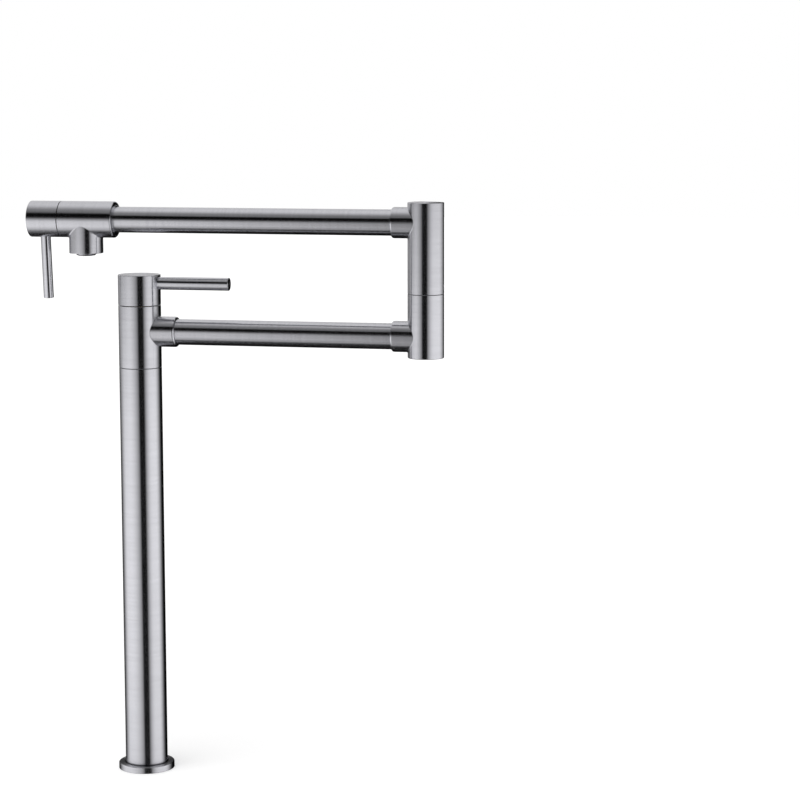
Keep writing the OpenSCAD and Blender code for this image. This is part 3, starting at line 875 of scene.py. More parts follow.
def ring(outer: float, inner: float, low: float, high: float, foot: float, crown: float) -> Outline:
    """A section of a plain ring.

    Args:
        outer: Outer radius.
        inner: Radius of the bore.
        low: Height of its foot.
        high: Height of its crown.
        foot: Rounding of the outer lower edge.
        crown: Rounding of the outer upper edge.

    Returns:
        The closed outline.
    """
    small = min(FINE, (outer - inner) / 4)
    outside = ((outer, low, foot), (outer, high, crown))
    return Outline((*outside, (inner, high, small), (inner, low, small)), True)


def lid(radius: float, height: float, edge: float) -> Outline:
    """The flat end of a round wall; its edge's rounding is negative where it looks down."""
    corners = ((radius, height - edge, SHARP), (radius, height, abs(edge)), (0.0, height, SHARP))
    return Outline(corners if edge > 0 else corners[::-1], steps=6)


def open_foot(outer: float, inner: float, low: float) -> Outline:
    """The flat foot between a bore with its lead-in and an outer wall."""
    bore = ((inner, low + LEAD, SHARP), (inner, low, LEAD))
    return Outline((*bore, (outer, low, EDGE), (outer, low + EDGE, SHARP)))


@dataclass(frozen=True)
class Stub:
    """A stub that holds an arm tube.

    Attributes:
        reach: Distance of its end from the wall's axis.
        radius: Its radius.
        nose: Rounding of its end.
        lead: How far before the rounding its own outline starts.
        socket_radius: Radius of the socket for the tube.
        socket_depth: The socket's depth.
    """

    reach: float
    radius: float = 14.25
    nose: float = 2.05
    lead: float = 0.6
    socket_radius: float = TUBE_RADIUS + FIT
    socket_depth: float = 12.0

    def floor(self) -> float:
        """Distance of the socket's floor from the wall's axis."""
        return self.reach - self.socket_depth

    def skins(self, mouth: Mouth, *rest: Corner) -> list[Skin]:
        """Makes the stub from the wall to its socket's floor.

        Args:
            mouth: Where it leaves the wall.
            rest: The last corners, at the floor.

        Returns:
            The skins.
        """
        start = self.reach - self.nose - self.lead
        nose = ((self.radius, start, SHARP), (self.radius, self.reach, self.nose))
        line = Outline((*nose, (self.socket_radius, self.reach, SLIGHT), *rest), steps=8)
        return [mouth.tube_to(start, False), turned(line, mouth.place, mouth.angles)]


@dataclass(frozen=True)
class ScrewHole:
    """A set screw's hole through the back of a body, at a height, from its outside into its bore."""

    height: float
    radius: float = 2.5

    def outside(self) -> Opening:
        """Its opening in the outer wall."""
        return Opening(Side.HOLE, self.height, self.radius, EDGE)

    def inside(self) -> Opening:
        """Its slightly narrower opening in the bore."""
        return Opening(Side.PORT, self.height, self.radius - FIT / 2, EDGE)

    def skins(self, outer: Mouth, inner: Mouth) -> list[Skin]:
        """The hole's side wall.

        Formula: each end's wall runs straight to a plane midway between them, where a
        narrow flat step closes the two rings.

        Args:
            outer: The end in the outer wall.
            inner: The end in the bore.

        Returns:
            The skins.
        """
        middle = float(outer.starts.mean() + inner.starts.mean()) / 2
        step = zipped(outer.place, middle, (inner.radius, inner.angles), (outer.radius, outer.angles), True)
        return [outer.tube_to(middle, True), inner.tube_to(middle, True), step]


@dataclass(frozen=True)
class Valve:
    """The room that each valve sits in, measured from the end of its body.

    Attributes:
        depth: Depth of the seat.
        web: Thickness of the web behind the seat.
        seat_hole: Radius of the hole in the web.
        chamber: Radius of the chamber.
        chamber_top: Height of the chamber over the seat.
        thread: Radius of the opening above the chamber.
    """

    depth: float = 34.5
    web: float = 3.0
    seat_hole: float = 5.5
    chamber: float = 12.0
    chamber_top: float = 21.0
    thread: float = 10.5

    def end(self, radius: float, face: float, lip: float) -> Outline:
        """The end of the body round the valve, from its outer wall to the chamber's wall.

        Args:
            radius: The body's radius.
            face: Height of its end.
            lip: Height of the chamber's top.

        Returns:
            The outline, which starts at the chamber where the end looks down.
        """
        up = 1.0 if face > lip else -1.0
        thread, room = self.thread, self.chamber
        outside = ((radius, face - up * EDGE, SHARP), (radius, face, EDGE), (thread, face, EDGE))
        inside = ((thread, lip, FINE), (room, lip, FINE), (room, lip - up * FINE, SHARP))
        return Outline((outside + inside)[:: int(up)])


# Sub-assemblies


@dataclass(frozen=True)
class Thread:
    """A screw thread on a bar.

    Attributes:
        radius: Radius of its crests.
        low: Height at which it starts.
        high: Height at which it stops.
        pitch: Height of one turn.
        depth: Depth of the groove.
        fade: Height over which the groove comes and goes.
    """

    radius: float
    low: float
    high: float
    pitch: float = 1.5
    depth: float = 0.8
    fade: float = 1.5

    def skin(self, place: Place) -> Skin:
        """Makes the thread.

        Formula: the radius at an angle and a height is that of the crests less the
        depth times a wave, whose phase is the height over the pitch less the angle's
        share of a turn; the wave is a flat-topped triangle, faded out at both ends.

        Args:
            place: The bar's axes.

        Returns:
            Its skin.
        """
        steps = int(round((self.high - self.low) / self.pitch * THREAD_ROWS))
        height = np.linspace(self.low, self.high, steps + 1)[:, None]
        phase = height / self.pitch - TURN / (2 * math.pi)
        wave = np.abs((phase % 1.0) * 2 - 1)
        above, below = height - self.low, self.high - height
        fade = np.clip(above / self.fade, 0, 1) * np.clip(below / self.fade, 0, 1)
        radius = self.radius - self.depth * np.clip(1.15 * wave - 0.08, 0, 1) * fade
        slope = np.gradient(radius, height[:, 0], axis=0)
        lead = -slope * self.pitch / (2 * math.pi)
        cos, sin = np.cos(TURN), np.sin(TURN)
        normals = np.stack([cos + lead * sin / radius, sin - lead * cos / radius, -slope], -1)
        normals /= np.linalg.norm(normals, axis=-1, keepdims=True)
        return Skin.grid(place, polar(radius, TURN, height), normals, height, TURN * self.radius)


@dataclass
class Column:
    """The standing column: flange, gasket, tube, threaded shank and the washer under the head."""

    radius: float = highest("column_tube", "x")
    bore: float = highest("column_spigot", "x") + FIT
    top: float = highest("column_tube", "z")
    flange_radius: float = highest("base_flange", "x")
    flange_top: float = highest("base_flange", "z")
    flange_floor: float = lowest("column_tube", "z")
    shank_radius: float = highest("threaded_shank", "x")
    shank_bore: float = 6.0
    shank_gap: float = 0.2
    shank_low: float = lowest("threaded_shank", "z")
    shank_high: float = highest("threaded_shank", "z")
    thread_low: float = shank_low + 1.0
    thread_high: float = -0.5
    inlet_radius: float = 9.3
    inlet_depth: float = 15.0
    groove_outer: float = 24.5
    groove_inner: float = 19.5
    groove_top: float = highest("deck_gasket", "z")
    washer_bore: float = 12.7
    # Reach of the painted shade at the column's foot, in millimetres.
    join_shade: float = 2.0
    place: Place = Place()

    def flange(self) -> Outline:
        """The flange's section: rim, seat for the column, hole for the shank and groove for the gasket.

        Returns:
            The outline, with painted shade round the column's foot.
        """
        top, floor = self.flange_top, self.flange_floor
        hole, seat = self.shank_radius + self.shank_gap, self.radius + FIT
        rim = ((self.flange_radius, 0, EDGE), (self.flange_radius, top, 1.0))
        foot = ((seat + self.join_shade, top, SHARP), (seat, top, LEAD), (seat, floor, FINE))
        under = ((hole, floor, FINE), (hole, 0, FINE), (self.groove_inner, 0, FINE))
        groove = (
            (self.groove_inner, self.groove_top, FINE),
            (self.groove_outer, self.groove_top, FINE),
            (self.groove_outer, 0, FINE),
        )
        # Painted shade darkens the flange's top round the column's foot.
        return Outline(rim + foot + under + groove, True, 6, join=(seat, top, self.join_shade))

    def tube(self) -> Outline:
        """The tube's section, with corners on its outside that carry painted shade at the flange.

        Returns:
            The outline.
        """
        r, foot, rim = self.radius, self.flange_floor, self.flange_top
        outside = ((r, foot, FINE), (r, rim - 1.0, SHARP), (r, rim, SHARP), (r, rim + self.join_shade, SHARP))
        end = ((r, self.top, EDGE), (self.bore, self.top, FINE), (self.bore, foot, FINE))
        # Painted shade darkens the tube's foot just above the flange.
        return Outline(outside + end, True, join=(r, rim, self.join_shade))

    def shank(self) -> list[Skin]:
        """The shank: a screw thread on its outside, and the outlines of its ends, water way and inlet.

        Returns:
            The skins.
        """
        r, low, high = self.shank_radius, self.shank_low, self.shank_high
        thread = Thread(r, self.thread_low, self.thread_high)
        inlet_top = low + self.inlet_depth
        head = ((r, self.thread_high, SHARP), (r, high, 0.4), (self.shank_bore, high, EDGE))
        water = ((self.shank_bore, inlet_top, EDGE), (self.inlet_radius, inlet_top, EDGE))
        foot = ((self.inlet_radius, low, 0.5), (r - 1.0, low, EDGE), (r, self.thread_low, SHARP))
        return [thread.skin(self.place), turned(Outline(head + water + foot), self.place)]

    def build(self) -> None:
        """Makes the column's pieces."""
        washer = "head_bearing_ring"
        under, over = lowest(washer, "z"), highest(washer, "z")
        pad = ring(self.groove_outer - FIT, self.groove_inner + FIT, 0, self.groove_top, LEAD, FINE)
        bearing = ring(highest(washer, "x"), self.washer_bore, under, over, FINE, FINE)
        for name, skins, finish, node in (
            ("base_flange_shell", [turned(self.flange(), self.place)], NICKEL, "base_flange"),
            ("column_tube_shell", [turned(self.tube(), self.place)], NICKEL, "column_tube"),
            ("deck_gasket_pad", [turned(pad, self.place)], RUBBER, "deck_gasket"),
            ("threaded_shank_body", self.shank(), BRASS, "threaded_shank"),
            ("head_bearing_washer", [turned(bearing, self.place)], NYLON, washer),
        ):
            piece(name, skins, finish, "column", node)


@dataclass
class DeckNut:
    """The nut under the worktop: a flange, a hub and four wings."""

    top: float = highest("mounting_nut", "z")
    low: float = lowest("mounting_nut", "z")
    flange_radius: float = highest("mounting_nut", "x")
    flange_height: float = 5.0
    hub_radius: float = 17.0
    hub_height: float = 13.0
    bore: float = highest("threaded_shank", "x") + FIT
    bevel: float = 0.8
    wing_width: float = 7.5
    wing_reach: float = 23.6
    wing_corner: float = 3.0
    wing_edge: float = 0.5
    wing_foot: float = 15.5

    def wing(self, angle: float) -> Skin:
        """One wing, a rounded plate that stands down from the flange.

        Formula: rings follow the wing's outline, a rectangle whose lower outer
        corner is a quarter circle; each ring is the outline moved in by the
        rounding times one less the cosine, and across by the rounding times the
        sine, of an angle that runs over the edge.

        Args:
            angle: Direction of the wing.

        Returns:
            The closed skin.
        """
        foot, head = self.low, self.top - self.flange_height / 2
        inner, outer, corner, edge = self.wing_foot, self.wing_reach, self.wing_corner, self.wing_edge
        arc = np.linspace(0, QUARTER, 7)
        arc = np.stack([outer - corner + corner * np.sin(arc), foot + corner - corner * np.cos(arc)], 1)
        line = np.concatenate([[[inner, head], [inner, foot]], arc, [[outer, head], [inner, head]]])
        middle = np.array([(inner + outer) / 2, (foot + head) / 2])
        turn = np.linspace(-QUARTER, QUARTER, 9)
        inset = edge * (1 - np.cos(turn))
        across = np.where(turn < 0, -1.0, 1.0) * (self.wing_width / 2 - edge) + edge * np.sin(turn)
        share = 1 - inset[:, None] / (np.array([outer - inner, head - foot]) / 2)
        flat = middle + (line - middle)[None] * share[:, None, :]
        cover = np.broadcast_to(middle, flat[:1].shape)
        flat = np.concatenate([cover, flat, cover])
        across = np.concatenate([across[:1], across, across[-1:]])
        points = np.stack(np.broadcast_arrays(flat[..., 0], across[:, None], flat[..., 1]), -1)
        step = np.roll(line[:-1], -1, axis=0) - np.roll(line[:-1], 1, axis=0)
        side = np.stack([-step[:, 1], step[:, 0]], 1)
        side = np.concatenate([side, side[:1]])
        side *= np.sign(((line - middle) * side).sum(1, keepdims=True))
        side /= np.linalg.norm(side, axis=1, keepdims=True)
        lean = np.concatenate([[-QUARTER], turn, [QUARTER]])[:, None]
        cos, sin = np.cos(lean), np.sin(lean)
        normals = np.stack(np.broadcast_arrays(side[:, 0] * cos, sin, side[:, 1] * cos), -1)
        place = Place(out=(math.cos(angle), math.sin(angle), 0.0))
        run, around = np.arange(len(lean), dtype=float), np.arange(len(line), dtype=float)
        return Skin.grid(place, points, normals, run[:, None], around)

    def build(self) -> None:
        """Makes the nut."""
        top, step, hub_low = self.top, self.top - self.flange_height, self.top - self.hub_height
        flange = ((self.flange_radius, step, 0.4), (self.flange_radius, top, 0.4))
        r, bevel = self.bore, self.bevel
        bore = ((r + bevel, top, EDGE), (r, top - bevel, FINE), (r, hub_low, EDGE))
        hub = ((self.hub_radius, hub_low, 0.4), (self.hub_radius, step, 0.8))
        skins = [turned(Outline(flange + bore + hub, True), Place())]
        skins += [self.wing(math.radians(a)) for a in (45, 135, 225, 315)]
        piece("mounting_nut_body", skins, NYLON, "deck_nut", "mounting_nut")


@dataclass
class Head:
    """The turning head with its stub for the lower arm."""

    radius: float = highest("column_tube", "x")
    low: float = lowest("head_body", "z")
    high: float = highest("head_body", "z")
    arm: float = LOWER_ARM
    fillet: float = 0.8
    neck_bore: float = 12.55
    stub: Stub = Stub(highest("head_body", "x") + FIT)
    screw: ScrewHole = ScrewHole(highest("column_tube", "z") + 7)
    valve: Valve = Valve()

    def skins(self) -> list[Skin]:
        """The head's outside, its swivel bore, its valve chamber and the water way between them.

        Returns:
            The skins.
        """
        place, valve, stub = Place(), self.valve, self.stub
        seat = self.high - valve.depth
        web, lip, floor = seat - valve.web, seat + valve.chamber_top, stub.floor()
        outer, stub_mouth, hole = Wall(
            place, self.radius, self.low + EDGE, self.high - EDGE,
            front=Opening(Side.STUB, self.arm, stub.radius, self.fillet), back=self.screw.outside(),
        ).skins()
        neck, _, inner_hole = Wall(
            place, self.neck_bore, self.low + LEAD, web - EDGE, inward=True, back=self.screw.inside()
        ).skins()
        chamber, port, _ = Wall(
            place, valve.chamber, seat + FINE, lip - FINE, inward=True,
            front=Opening(Side.PORT, self.arm, WATER, LEAD),
        ).skins()
        room, drain, bore = valve.chamber, valve.seat_hole, self.neck_bore
        above = ((room, seat + FINE, SHARP), (room, seat, FINE), (drain, seat, EDGE))
        below = ((drain, web, EDGE), (bore, web, EDGE), (bore, web - EDGE, SHARP))
        ends = (
            open_foot(self.radius, self.neck_bore, self.low),
            Outline(above + below),
            valve.end(self.radius, self.high, lip),
        )
        socket = (stub.socket_radius, stub_mouth.angles)
        skins = outer + neck + chamber + stub.skins(stub_mouth, (stub.socket_radius, floor, SHARP))
        skins.append(zipped(stub_mouth.place, floor, (WATER, port.angles), socket, True))
        skins.append(port.tube_to(floor, True))
        return skins + self.screw.skins(hole, inner_hole) + [turned(line, place) for line in ends]

    def build(self) -> None:
        """Makes the head."""
        piece("head_shell", self.skins(), NICKEL, "lower_arm", "head_body")


@dataclass
class LeverCap:
    """A cap over a valve, with a socket in its side for a round lever.

    Attributes:
        name: The cap's name.
        lever_name: The lever's name.
        body: The body that both move with.
        nodes: The nodes that they stand for.
        place: The cap's axes, with out along the lever.
        radius: The cap's radius.
        length: The cap's length.
        lever_at: Height of the lever's axis.
        lever_radius: The lever's radius.
        lever_reach: Distance of the lever's tip from the cap's axis.
        wall: Thickness of the cap's skirt.
        boss: Height up to which the cap is hollow.
        tang_radius: Radius of the hole for the spindle.
        tang_top: Height of that hole's end.
        socket: Depth of the lever's socket.
        stud_room: Distance from the axis at which the stud's hole ends.
        stud_end: The same for the stud in it.
        bevel: Rounding of the lever's tip.
        crown: Rounding of the cap's upper edge.
    """

    name: str
    lever_name: str
    body: str
    nodes: tuple[str, str]
    place: Place
    radius: float
    length: float
    lever_at: float
    lever_radius: float
    lever_reach: float
    wall: float = 3.0
    boss: float = 10.8
    tang_radius: float = 4.05
    tang_top: float = 23.0
    socket: float = 1.5
    stud_room: float = 4.4
    stud_end: float = 3.25
    bevel: float = 0.5
    crown: float = 0.5

    def seat(self) -> float:
        """Distance from the axis at which the lever stands on the bottom of its socket."""
        return math.sqrt(self.radius**2 - self.lever_radius**2) - self.socket

    def cap(self) -> list[Skin]:
        """The cap: closed crown, side socket, and the hollow that turns over the valve's neck.

        Returns:
            The skins.
        """
        hole, stud, seat = self.lever_radius + FIT, self.lever_radius / 2 + FIT, self.seat()
        skins, mouth, _ = Wall(
            self.place, self.radius, EDGE, self.length - self.crown,
            front=Opening(Side.HOLE, self.lever_at, hole, 0.15),
        ).skins()
        end = self.stud_room
        step = ((hole, seat, SHARP), (stud, seat, FINE), (stud, end, FINE), (0, end, SHARP))
        skins += [mouth.tube_to(seat, True), turned(Outline(step), mouth.place, mouth.angles)]
        r, tang, top, boss = self.radius, self.tang_radius, self.tang_top, self.boss
        hollow = r - self.wall
        inside = ((0, top, SHARP), (tang, top, FINE), (tang, boss, EDGE))
        skirt = ((hollow, boss, LEAD), (hollow, 0, LEAD), (r, 0, EDGE), (r, EDGE, SHARP))
        ends = (Outline(inside + skirt), lid(r, self.length, self.crown))
        return skins + [turned(line, self.place) for line in ends]

    def lever(self) -> list[Skin]:
        """The lever: a stud in the cap and a round bar with a small rounded edge at its tip.

        Returns:
            The skins.
        """
        stud, bar, seat, tip = self.lever_radius / 2, self.lever_radius, self.seat(), self.lever_reach
        inner = ((0, self.stud_end, SHARP), (stud, self.stud_end, 0.4), (stud, seat, FINE))
        outer = ((bar, seat, LEAD), (bar, tip, self.bevel), (0, tip, SHARP))
        return [turned(Outline(inner + outer, steps=6), self.place.aside(self.lever_at))]

    def build(self) -> None:
        """Makes the cap and its lever."""
        piece(self.name, self.cap(), NICKEL, self.body, self.nodes[0])
        piece(self.lever_name, self.lever(), BARS, self.body, self.nodes[1])


@dataclass
class Elbow:
    """The elbow between both arms: a lower body, an upper one that swivels on it, and their washer."""

    axis: float = joint_at("elbow_swivel")[0]
    radius: float = highest("elbow_lower_body", "x") - axis
    low: float = lowest("elbow_lower_body", "z")
    seam: float = highest("elbow_lower_body", "z")
    base: float = lowest("elbow_upper_body", "z")
    top: float = highest("elbow_upper_body", "z")
    fillet: float = 0.9
    foot_edge: float = 0.8
    crown_edge: float = 0.4
    land: float = 1.0
    spigot: float = 11.0
    spigot_depth: float = 20.0
    neck_room: float = 25.5
    washer_inset: float = 0.8
    washer_gap: float = 0.2
    bend: float = 9.0
    stub: Stub = Stub(31.3)
    screw: ScrewHole = ScrewHole(highest("elbow_lower_body", "z") + 7)

    def place(self, height: float = 0.0) -> Place:
        """The elbow's axis, with out towards both stubs and its origin at a height."""
        return Place((self.axis, 0.0, height), (-1.0, 0.0, 0.0))

    def arm(self, mouth: Mouth, height: float, end: float) -> list[Skin]:
        """A stub with its nose, its tube socket and the water way that bends into the elbow's axis.

        Args:
            mouth: Where the stub leaves the elbow's wall.
            height: Height of its axis.
            end: Height at which the water way ends.

        Returns:
            The skins.
        """
        floor = self.stub.floor()
        skins = self.stub.skins(mouth, (self.stub.socket_radius, floor, FINE), (WATER, floor, SHARP))
        return skins + [bent_pipe(self.place(height), mouth.angles, floor, self.bend, end - height)]

    def lower(self) -> list[Skin]:
        """The lower body, which carries the spigot in a counterbore.

        Returns:
            The skins.
        """
        place, r, seam, inner = self.place(), self.radius, self.seam, self.radius - self.land
        ledge, bore = seam - self.spigot_depth, self.spigot + FIT
        skins, mouth, _ = Wall(
            place, r, self.low + self.foot_edge, seam - EDGE,
            front=Opening(Side.STUB, LOWER_ARM, self.stub.radius, self.fillet),
        ).skins()
        around = QUARTER - mouth.angles
        counterbore = Outline(((bore, seam, SHARP), (bore, ledge, FINE), (WATER, ledge, SHARP)))
        crown = Outline(((r, seam - EDGE, SHARP), (r, seam, EDGE), (inner, seam, SHARP)))
        skins += self.arm(mouth, LOWER_ARM, ledge) + [turned(counterbore, place, around)]
        skins += [turned(lid(r, self.low, -self.foot_edge), place), turned(crown, place)]
        return skins + [zipped(place, seam, (bore, around), (inner, TURN), True)]

    def upper(self) -> list[Skin]:
        """The upper body, with the bore that turns on the spigot and the hole of its set screw.

        Returns:
            The skins.
        """
        place, base, bore, outer = self.place(), self.base, self.spigot + FIT, WATER + self.land
        ceiling = base + self.neck_room
        skins, mouth, hole = Wall(
            place, self.radius, base + EDGE, self.top - self.crown_edge,
            front=Opening(Side.STUB, UPPER_ARM, self.stub.radius, self.fillet), back=self.screw.outside(),
        ).skins()
        neck, _, inner_hole = Wall(
            place, bore, base + LEAD, ceiling - self.land, inward=True, back=self.screw.inside()
        ).skins()
        roof = Outline(((outer, ceiling, SHARP), (bore, ceiling, FINE), (bore, ceiling - self.land, SHARP)))
        foot, crown = open_foot(self.radius, bore, base), lid(self.radius, self.top, self.crown_edge)
        skins += neck + self.arm(mouth, UPPER_ARM, ceiling) + self.screw.skins(hole, inner_hole)
        skins += [turned(line, place) for line in (roof, foot, crown)]
        return skins + [zipped(place, ceiling, (WATER, QUARTER + mouth.angles), (outer, TURN), False)]

    def build(self) -> None:
        """Makes the elbow's three pieces."""
        piece("elbow_lower_shell", self.lower(), NICKEL, "lower_arm", "elbow_lower_body")
        piece("elbow_upper_shell", self.upper(), NICKEL, "upper_arm", "elbow_upper_body")
        outer, inner = self.radius - self.washer_inset, self.spigot + self.washer_gap
        washer = turned(ring(outer, inner, self.seam, self.base - FIT, FINE, FINE), self.place())
        piece("elbow_bearing_washer", [washer], NYLON, "lower_arm", "elbow_bearing_ring")


@dataclass
class ArmTube:
    """A straight arm tube along X."""

    name: str
    node: str
    body: str
    height: float
    wall: float = 1.2

    def build(self) -> None:
        """Makes the tube."""
        place = Place((0.0, 0.0, self.height), (0.0, 1.0, 0.0), TO_RIGHT)
        start, end = lowest(self.node, "x"), highest(self.node, "x")
        line = ring(TUBE_RADIUS, TUBE_RADIUS - self.wall, start, end, EDGE, EDGE)
        piece(self.name, [turned(line, place)], NICKEL, self.body, self.node)


@dataclass
class Aerator:
    """The aerator's housing: a ring in the outlet with a narrower, domed nose below it.

    Attributes:
        hole: Radius of the hole in the nose.
        nose: Corners of the domed nose; heights are measured from the outlet's edge.
        neck: Radius of the nose where it meets the ring.
        outer: Radius of the ring.
        throat: Radius of the room inside.
        screen: Radius of the wider room above it.
        low: Height of the nose's foot.
        floor: Height of the room's floor.
        shoulder: Height of the ring's foot.
        ledge: Height at which the wider room starts.
        high: Height of the ring's top.
    """

    hole: float = 6.3
    nose: tuple[Corner, ...] = ((7.9, -2.25, 1.5), (9.1, -1.5, 1.5), (9.8, -0.4, 1.0))
    neck: float = 9.8
    outer: float = 11.95
    throat: float = 8.3
    screen: float = 9.5
    low: float = -2.5
    floor: float = -1.7
    shoulder: float = 1.1
    ledge: float = 6.0
    high: float = 10.5

    def outline(self) -> Outline:
        """The housing's section.

        Returns:
            The closed outline.
        """
        outside = ((self.neck, self.shoulder, EDGE), (self.outer, self.shoulder, LEAD))
        top = ((self.outer, self.high, FINE), (self.screen, self.high, FINE), (self.screen, self.ledge, FINE))
        throat = ((self.throat, self.ledge, FINE), (self.throat, self.floor, FINE))
        start, end = (self.hole, self.low, FINE), (self.hole, self.floor, FINE)
        return Outline((start, *self.nose, *outside, *top, *throat, end), True)


@dataclass
class Spout:
    """The spout body with its outlet, the bush round the arm tube, and the aerator."""

    outlet_bore: float = 12.0
    outlet_at: float = highest("aerator_housing", "x") + FIT - outlet_bore
    outlet_radius: float = 16.0
    outlet_drop: float = UPPER_ARM - lowest("spout_body", "z")
    outlet_lead: float = 0.8
    outlet_edge: float = 0.5
    bore_depth: float = 12.0
    port: float = 9.5
    radius: float = UPPER_ARM - lowest("spout_cap", "z")
    front: float = highest("spout_body", "x") - outlet_at
    back: float = outlet_at - lowest("spout_body", "x")
    fillet: float = 1.5
    socket_radius: float = TUBE_RADIUS + FIT
    socket_depth: float = 12.0
    bush_radius: float = 13.25
    bush_depth: float = 2.0
    bush_proud: float = 1.0
    bush_gap: float = 0.1
    front_edge: float = 1.4
    face_edge: float = 0.25
    valve: Valve = Valve()

    def place(self) -> Place:
        """The spout's axis towards the arm, with out straight down and its origin above the outlet."""
        return Place((self.outlet_at, 0.0, UPPER_ARM), (0.0, 0.0, -1.0), TO_RIGHT)

    def skins(self) -> list[Skin]:
        """The body's outside, its tube socket, its valve chamber and the outlet's bore.

        Returns:
            The skins.
        """
        place, valve, front, back = self.place(), self.valve, self.front, -self.back
        seat = valve.depth - self.back
        lip, web = seat - valve.chamber_top, seat + valve.web
        outer, outlet, _ = Wall(
            place, self.radius, back + EDGE, front - self.front_edge,
            front=Opening(Side.STUB, 0.0, self.outlet_radius, self.fillet),
        ).skins()
        chamber, port, _ = Wall(
            place, valve.chamber, lip + FINE, seat - FINE, inward=True,
            front=Opening(Side.PORT, 0.0, self.port, EDGE),
        ).skins()
        drop, step = self.outlet_drop, self.outlet_drop - self.bore_depth
        start = drop - self.outlet_lead
        edge = ((self.outlet_radius, start, SHARP), (self.outlet_radius, drop, self.outlet_edge))
        rim = Outline((*edge, (self.outlet_bore, drop, LEAD), (self.outlet_bore, step, SHARP)), steps=6)
        bore = (self.outlet_bore, outlet.angles)
        skins = outer + chamber + [outlet.tube_to(start, False), turned(rim, outlet.place, outlet.angles)]
        skins += [zipped(outlet.place, step, (self.port, port.angles), bore, True), port.tube_to(step, True)]
        bush, tube = front - self.bush_depth, front - self.socket_depth
        face = ((self.radius, front - self.front_edge, SHARP), (self.radius, front, self.front_edge))
        room = ((self.bush_radius, front, self.face_edge), (self.bush_radius, bush, FINE))
        socket = ((self.socket_radius, bush, FINE), (self.socket_radius, tube, FINE), (WATER, tube, EDGE))
        hole = ((WATER, web, FINE), (valve.seat_hole, web, FINE), (valve.seat_hole, seat, EDGE))
        floor = ((valve.chamber, seat, FINE), (valve.chamber, seat - FINE, SHARP))
        inner = Outline(face + room + socket + hole + floor, steps=8, faced=True)
        ends = (inner, valve.end(self.radius, back, lip))
        return skins + [turned(line, place) for line in ends]

    def build(self) -> None:
        """Makes the spout's pieces."""
        piece("spout_shell", self.skins(), NICKEL, "upper_arm", "spout_body")
        base, proud = self.front - self.bush_depth, self.front + self.bush_proud
        outer, inner = self.bush_radius - self.bush_gap, self.socket_radius
        outside = ((outer, base, FINE), (outer, proud, self.face_edge))
        inside = ((inner, proud, SLIGHT), (inner, base, FINE))
        bush = turned(Outline(outside + inside, True, faced=True), self.place())
        piece("spout_bush_ring", [bush], NICKEL, "upper_arm", "spout_bush")
        aerator = turned(Aerator().outline(), Place((self.outlet_at, 0.0, UPPER_ARM - self.outlet_drop)))
        piece("aerator_ring", [aerator], NICKEL, "upper_arm", "aerator_housing")


@dataclass
class Workings:
    """The pieces inside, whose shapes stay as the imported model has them."""

    def build(self) -> None:
        """Gives every node that still shows the finish of its material slot."""
        slots = {s["node"]: s["material_slot"] for s in frame["record"]["subparts"]}
        for name, node in sorted(frame["nodes"].items()):
            if node.hide_render:
                continue
            finish = FINISHES[slots[name]]
            for place in node.material_slots:
                place.material = finish.material()
            LOG.info("%s keeps its shape, in %s", name, finish.slot)


# Studio


def rise(value: Array, low: Array | float, high: Array | float) -> Array:
    """An even, soft step from 0 at low to 1 at high."""
    share = np.clip((value - low) / (high - low), 0, 1)
    return share * share * (3 - 2 * share)


def swell(angle: Array, span: float) -> Array:
    """The sine of a quarter turn's share: 0 up to an angle of 0, 1 from the span on."""
    return np.sin(QUARTER * np.clip(angle / span, 0, 1))


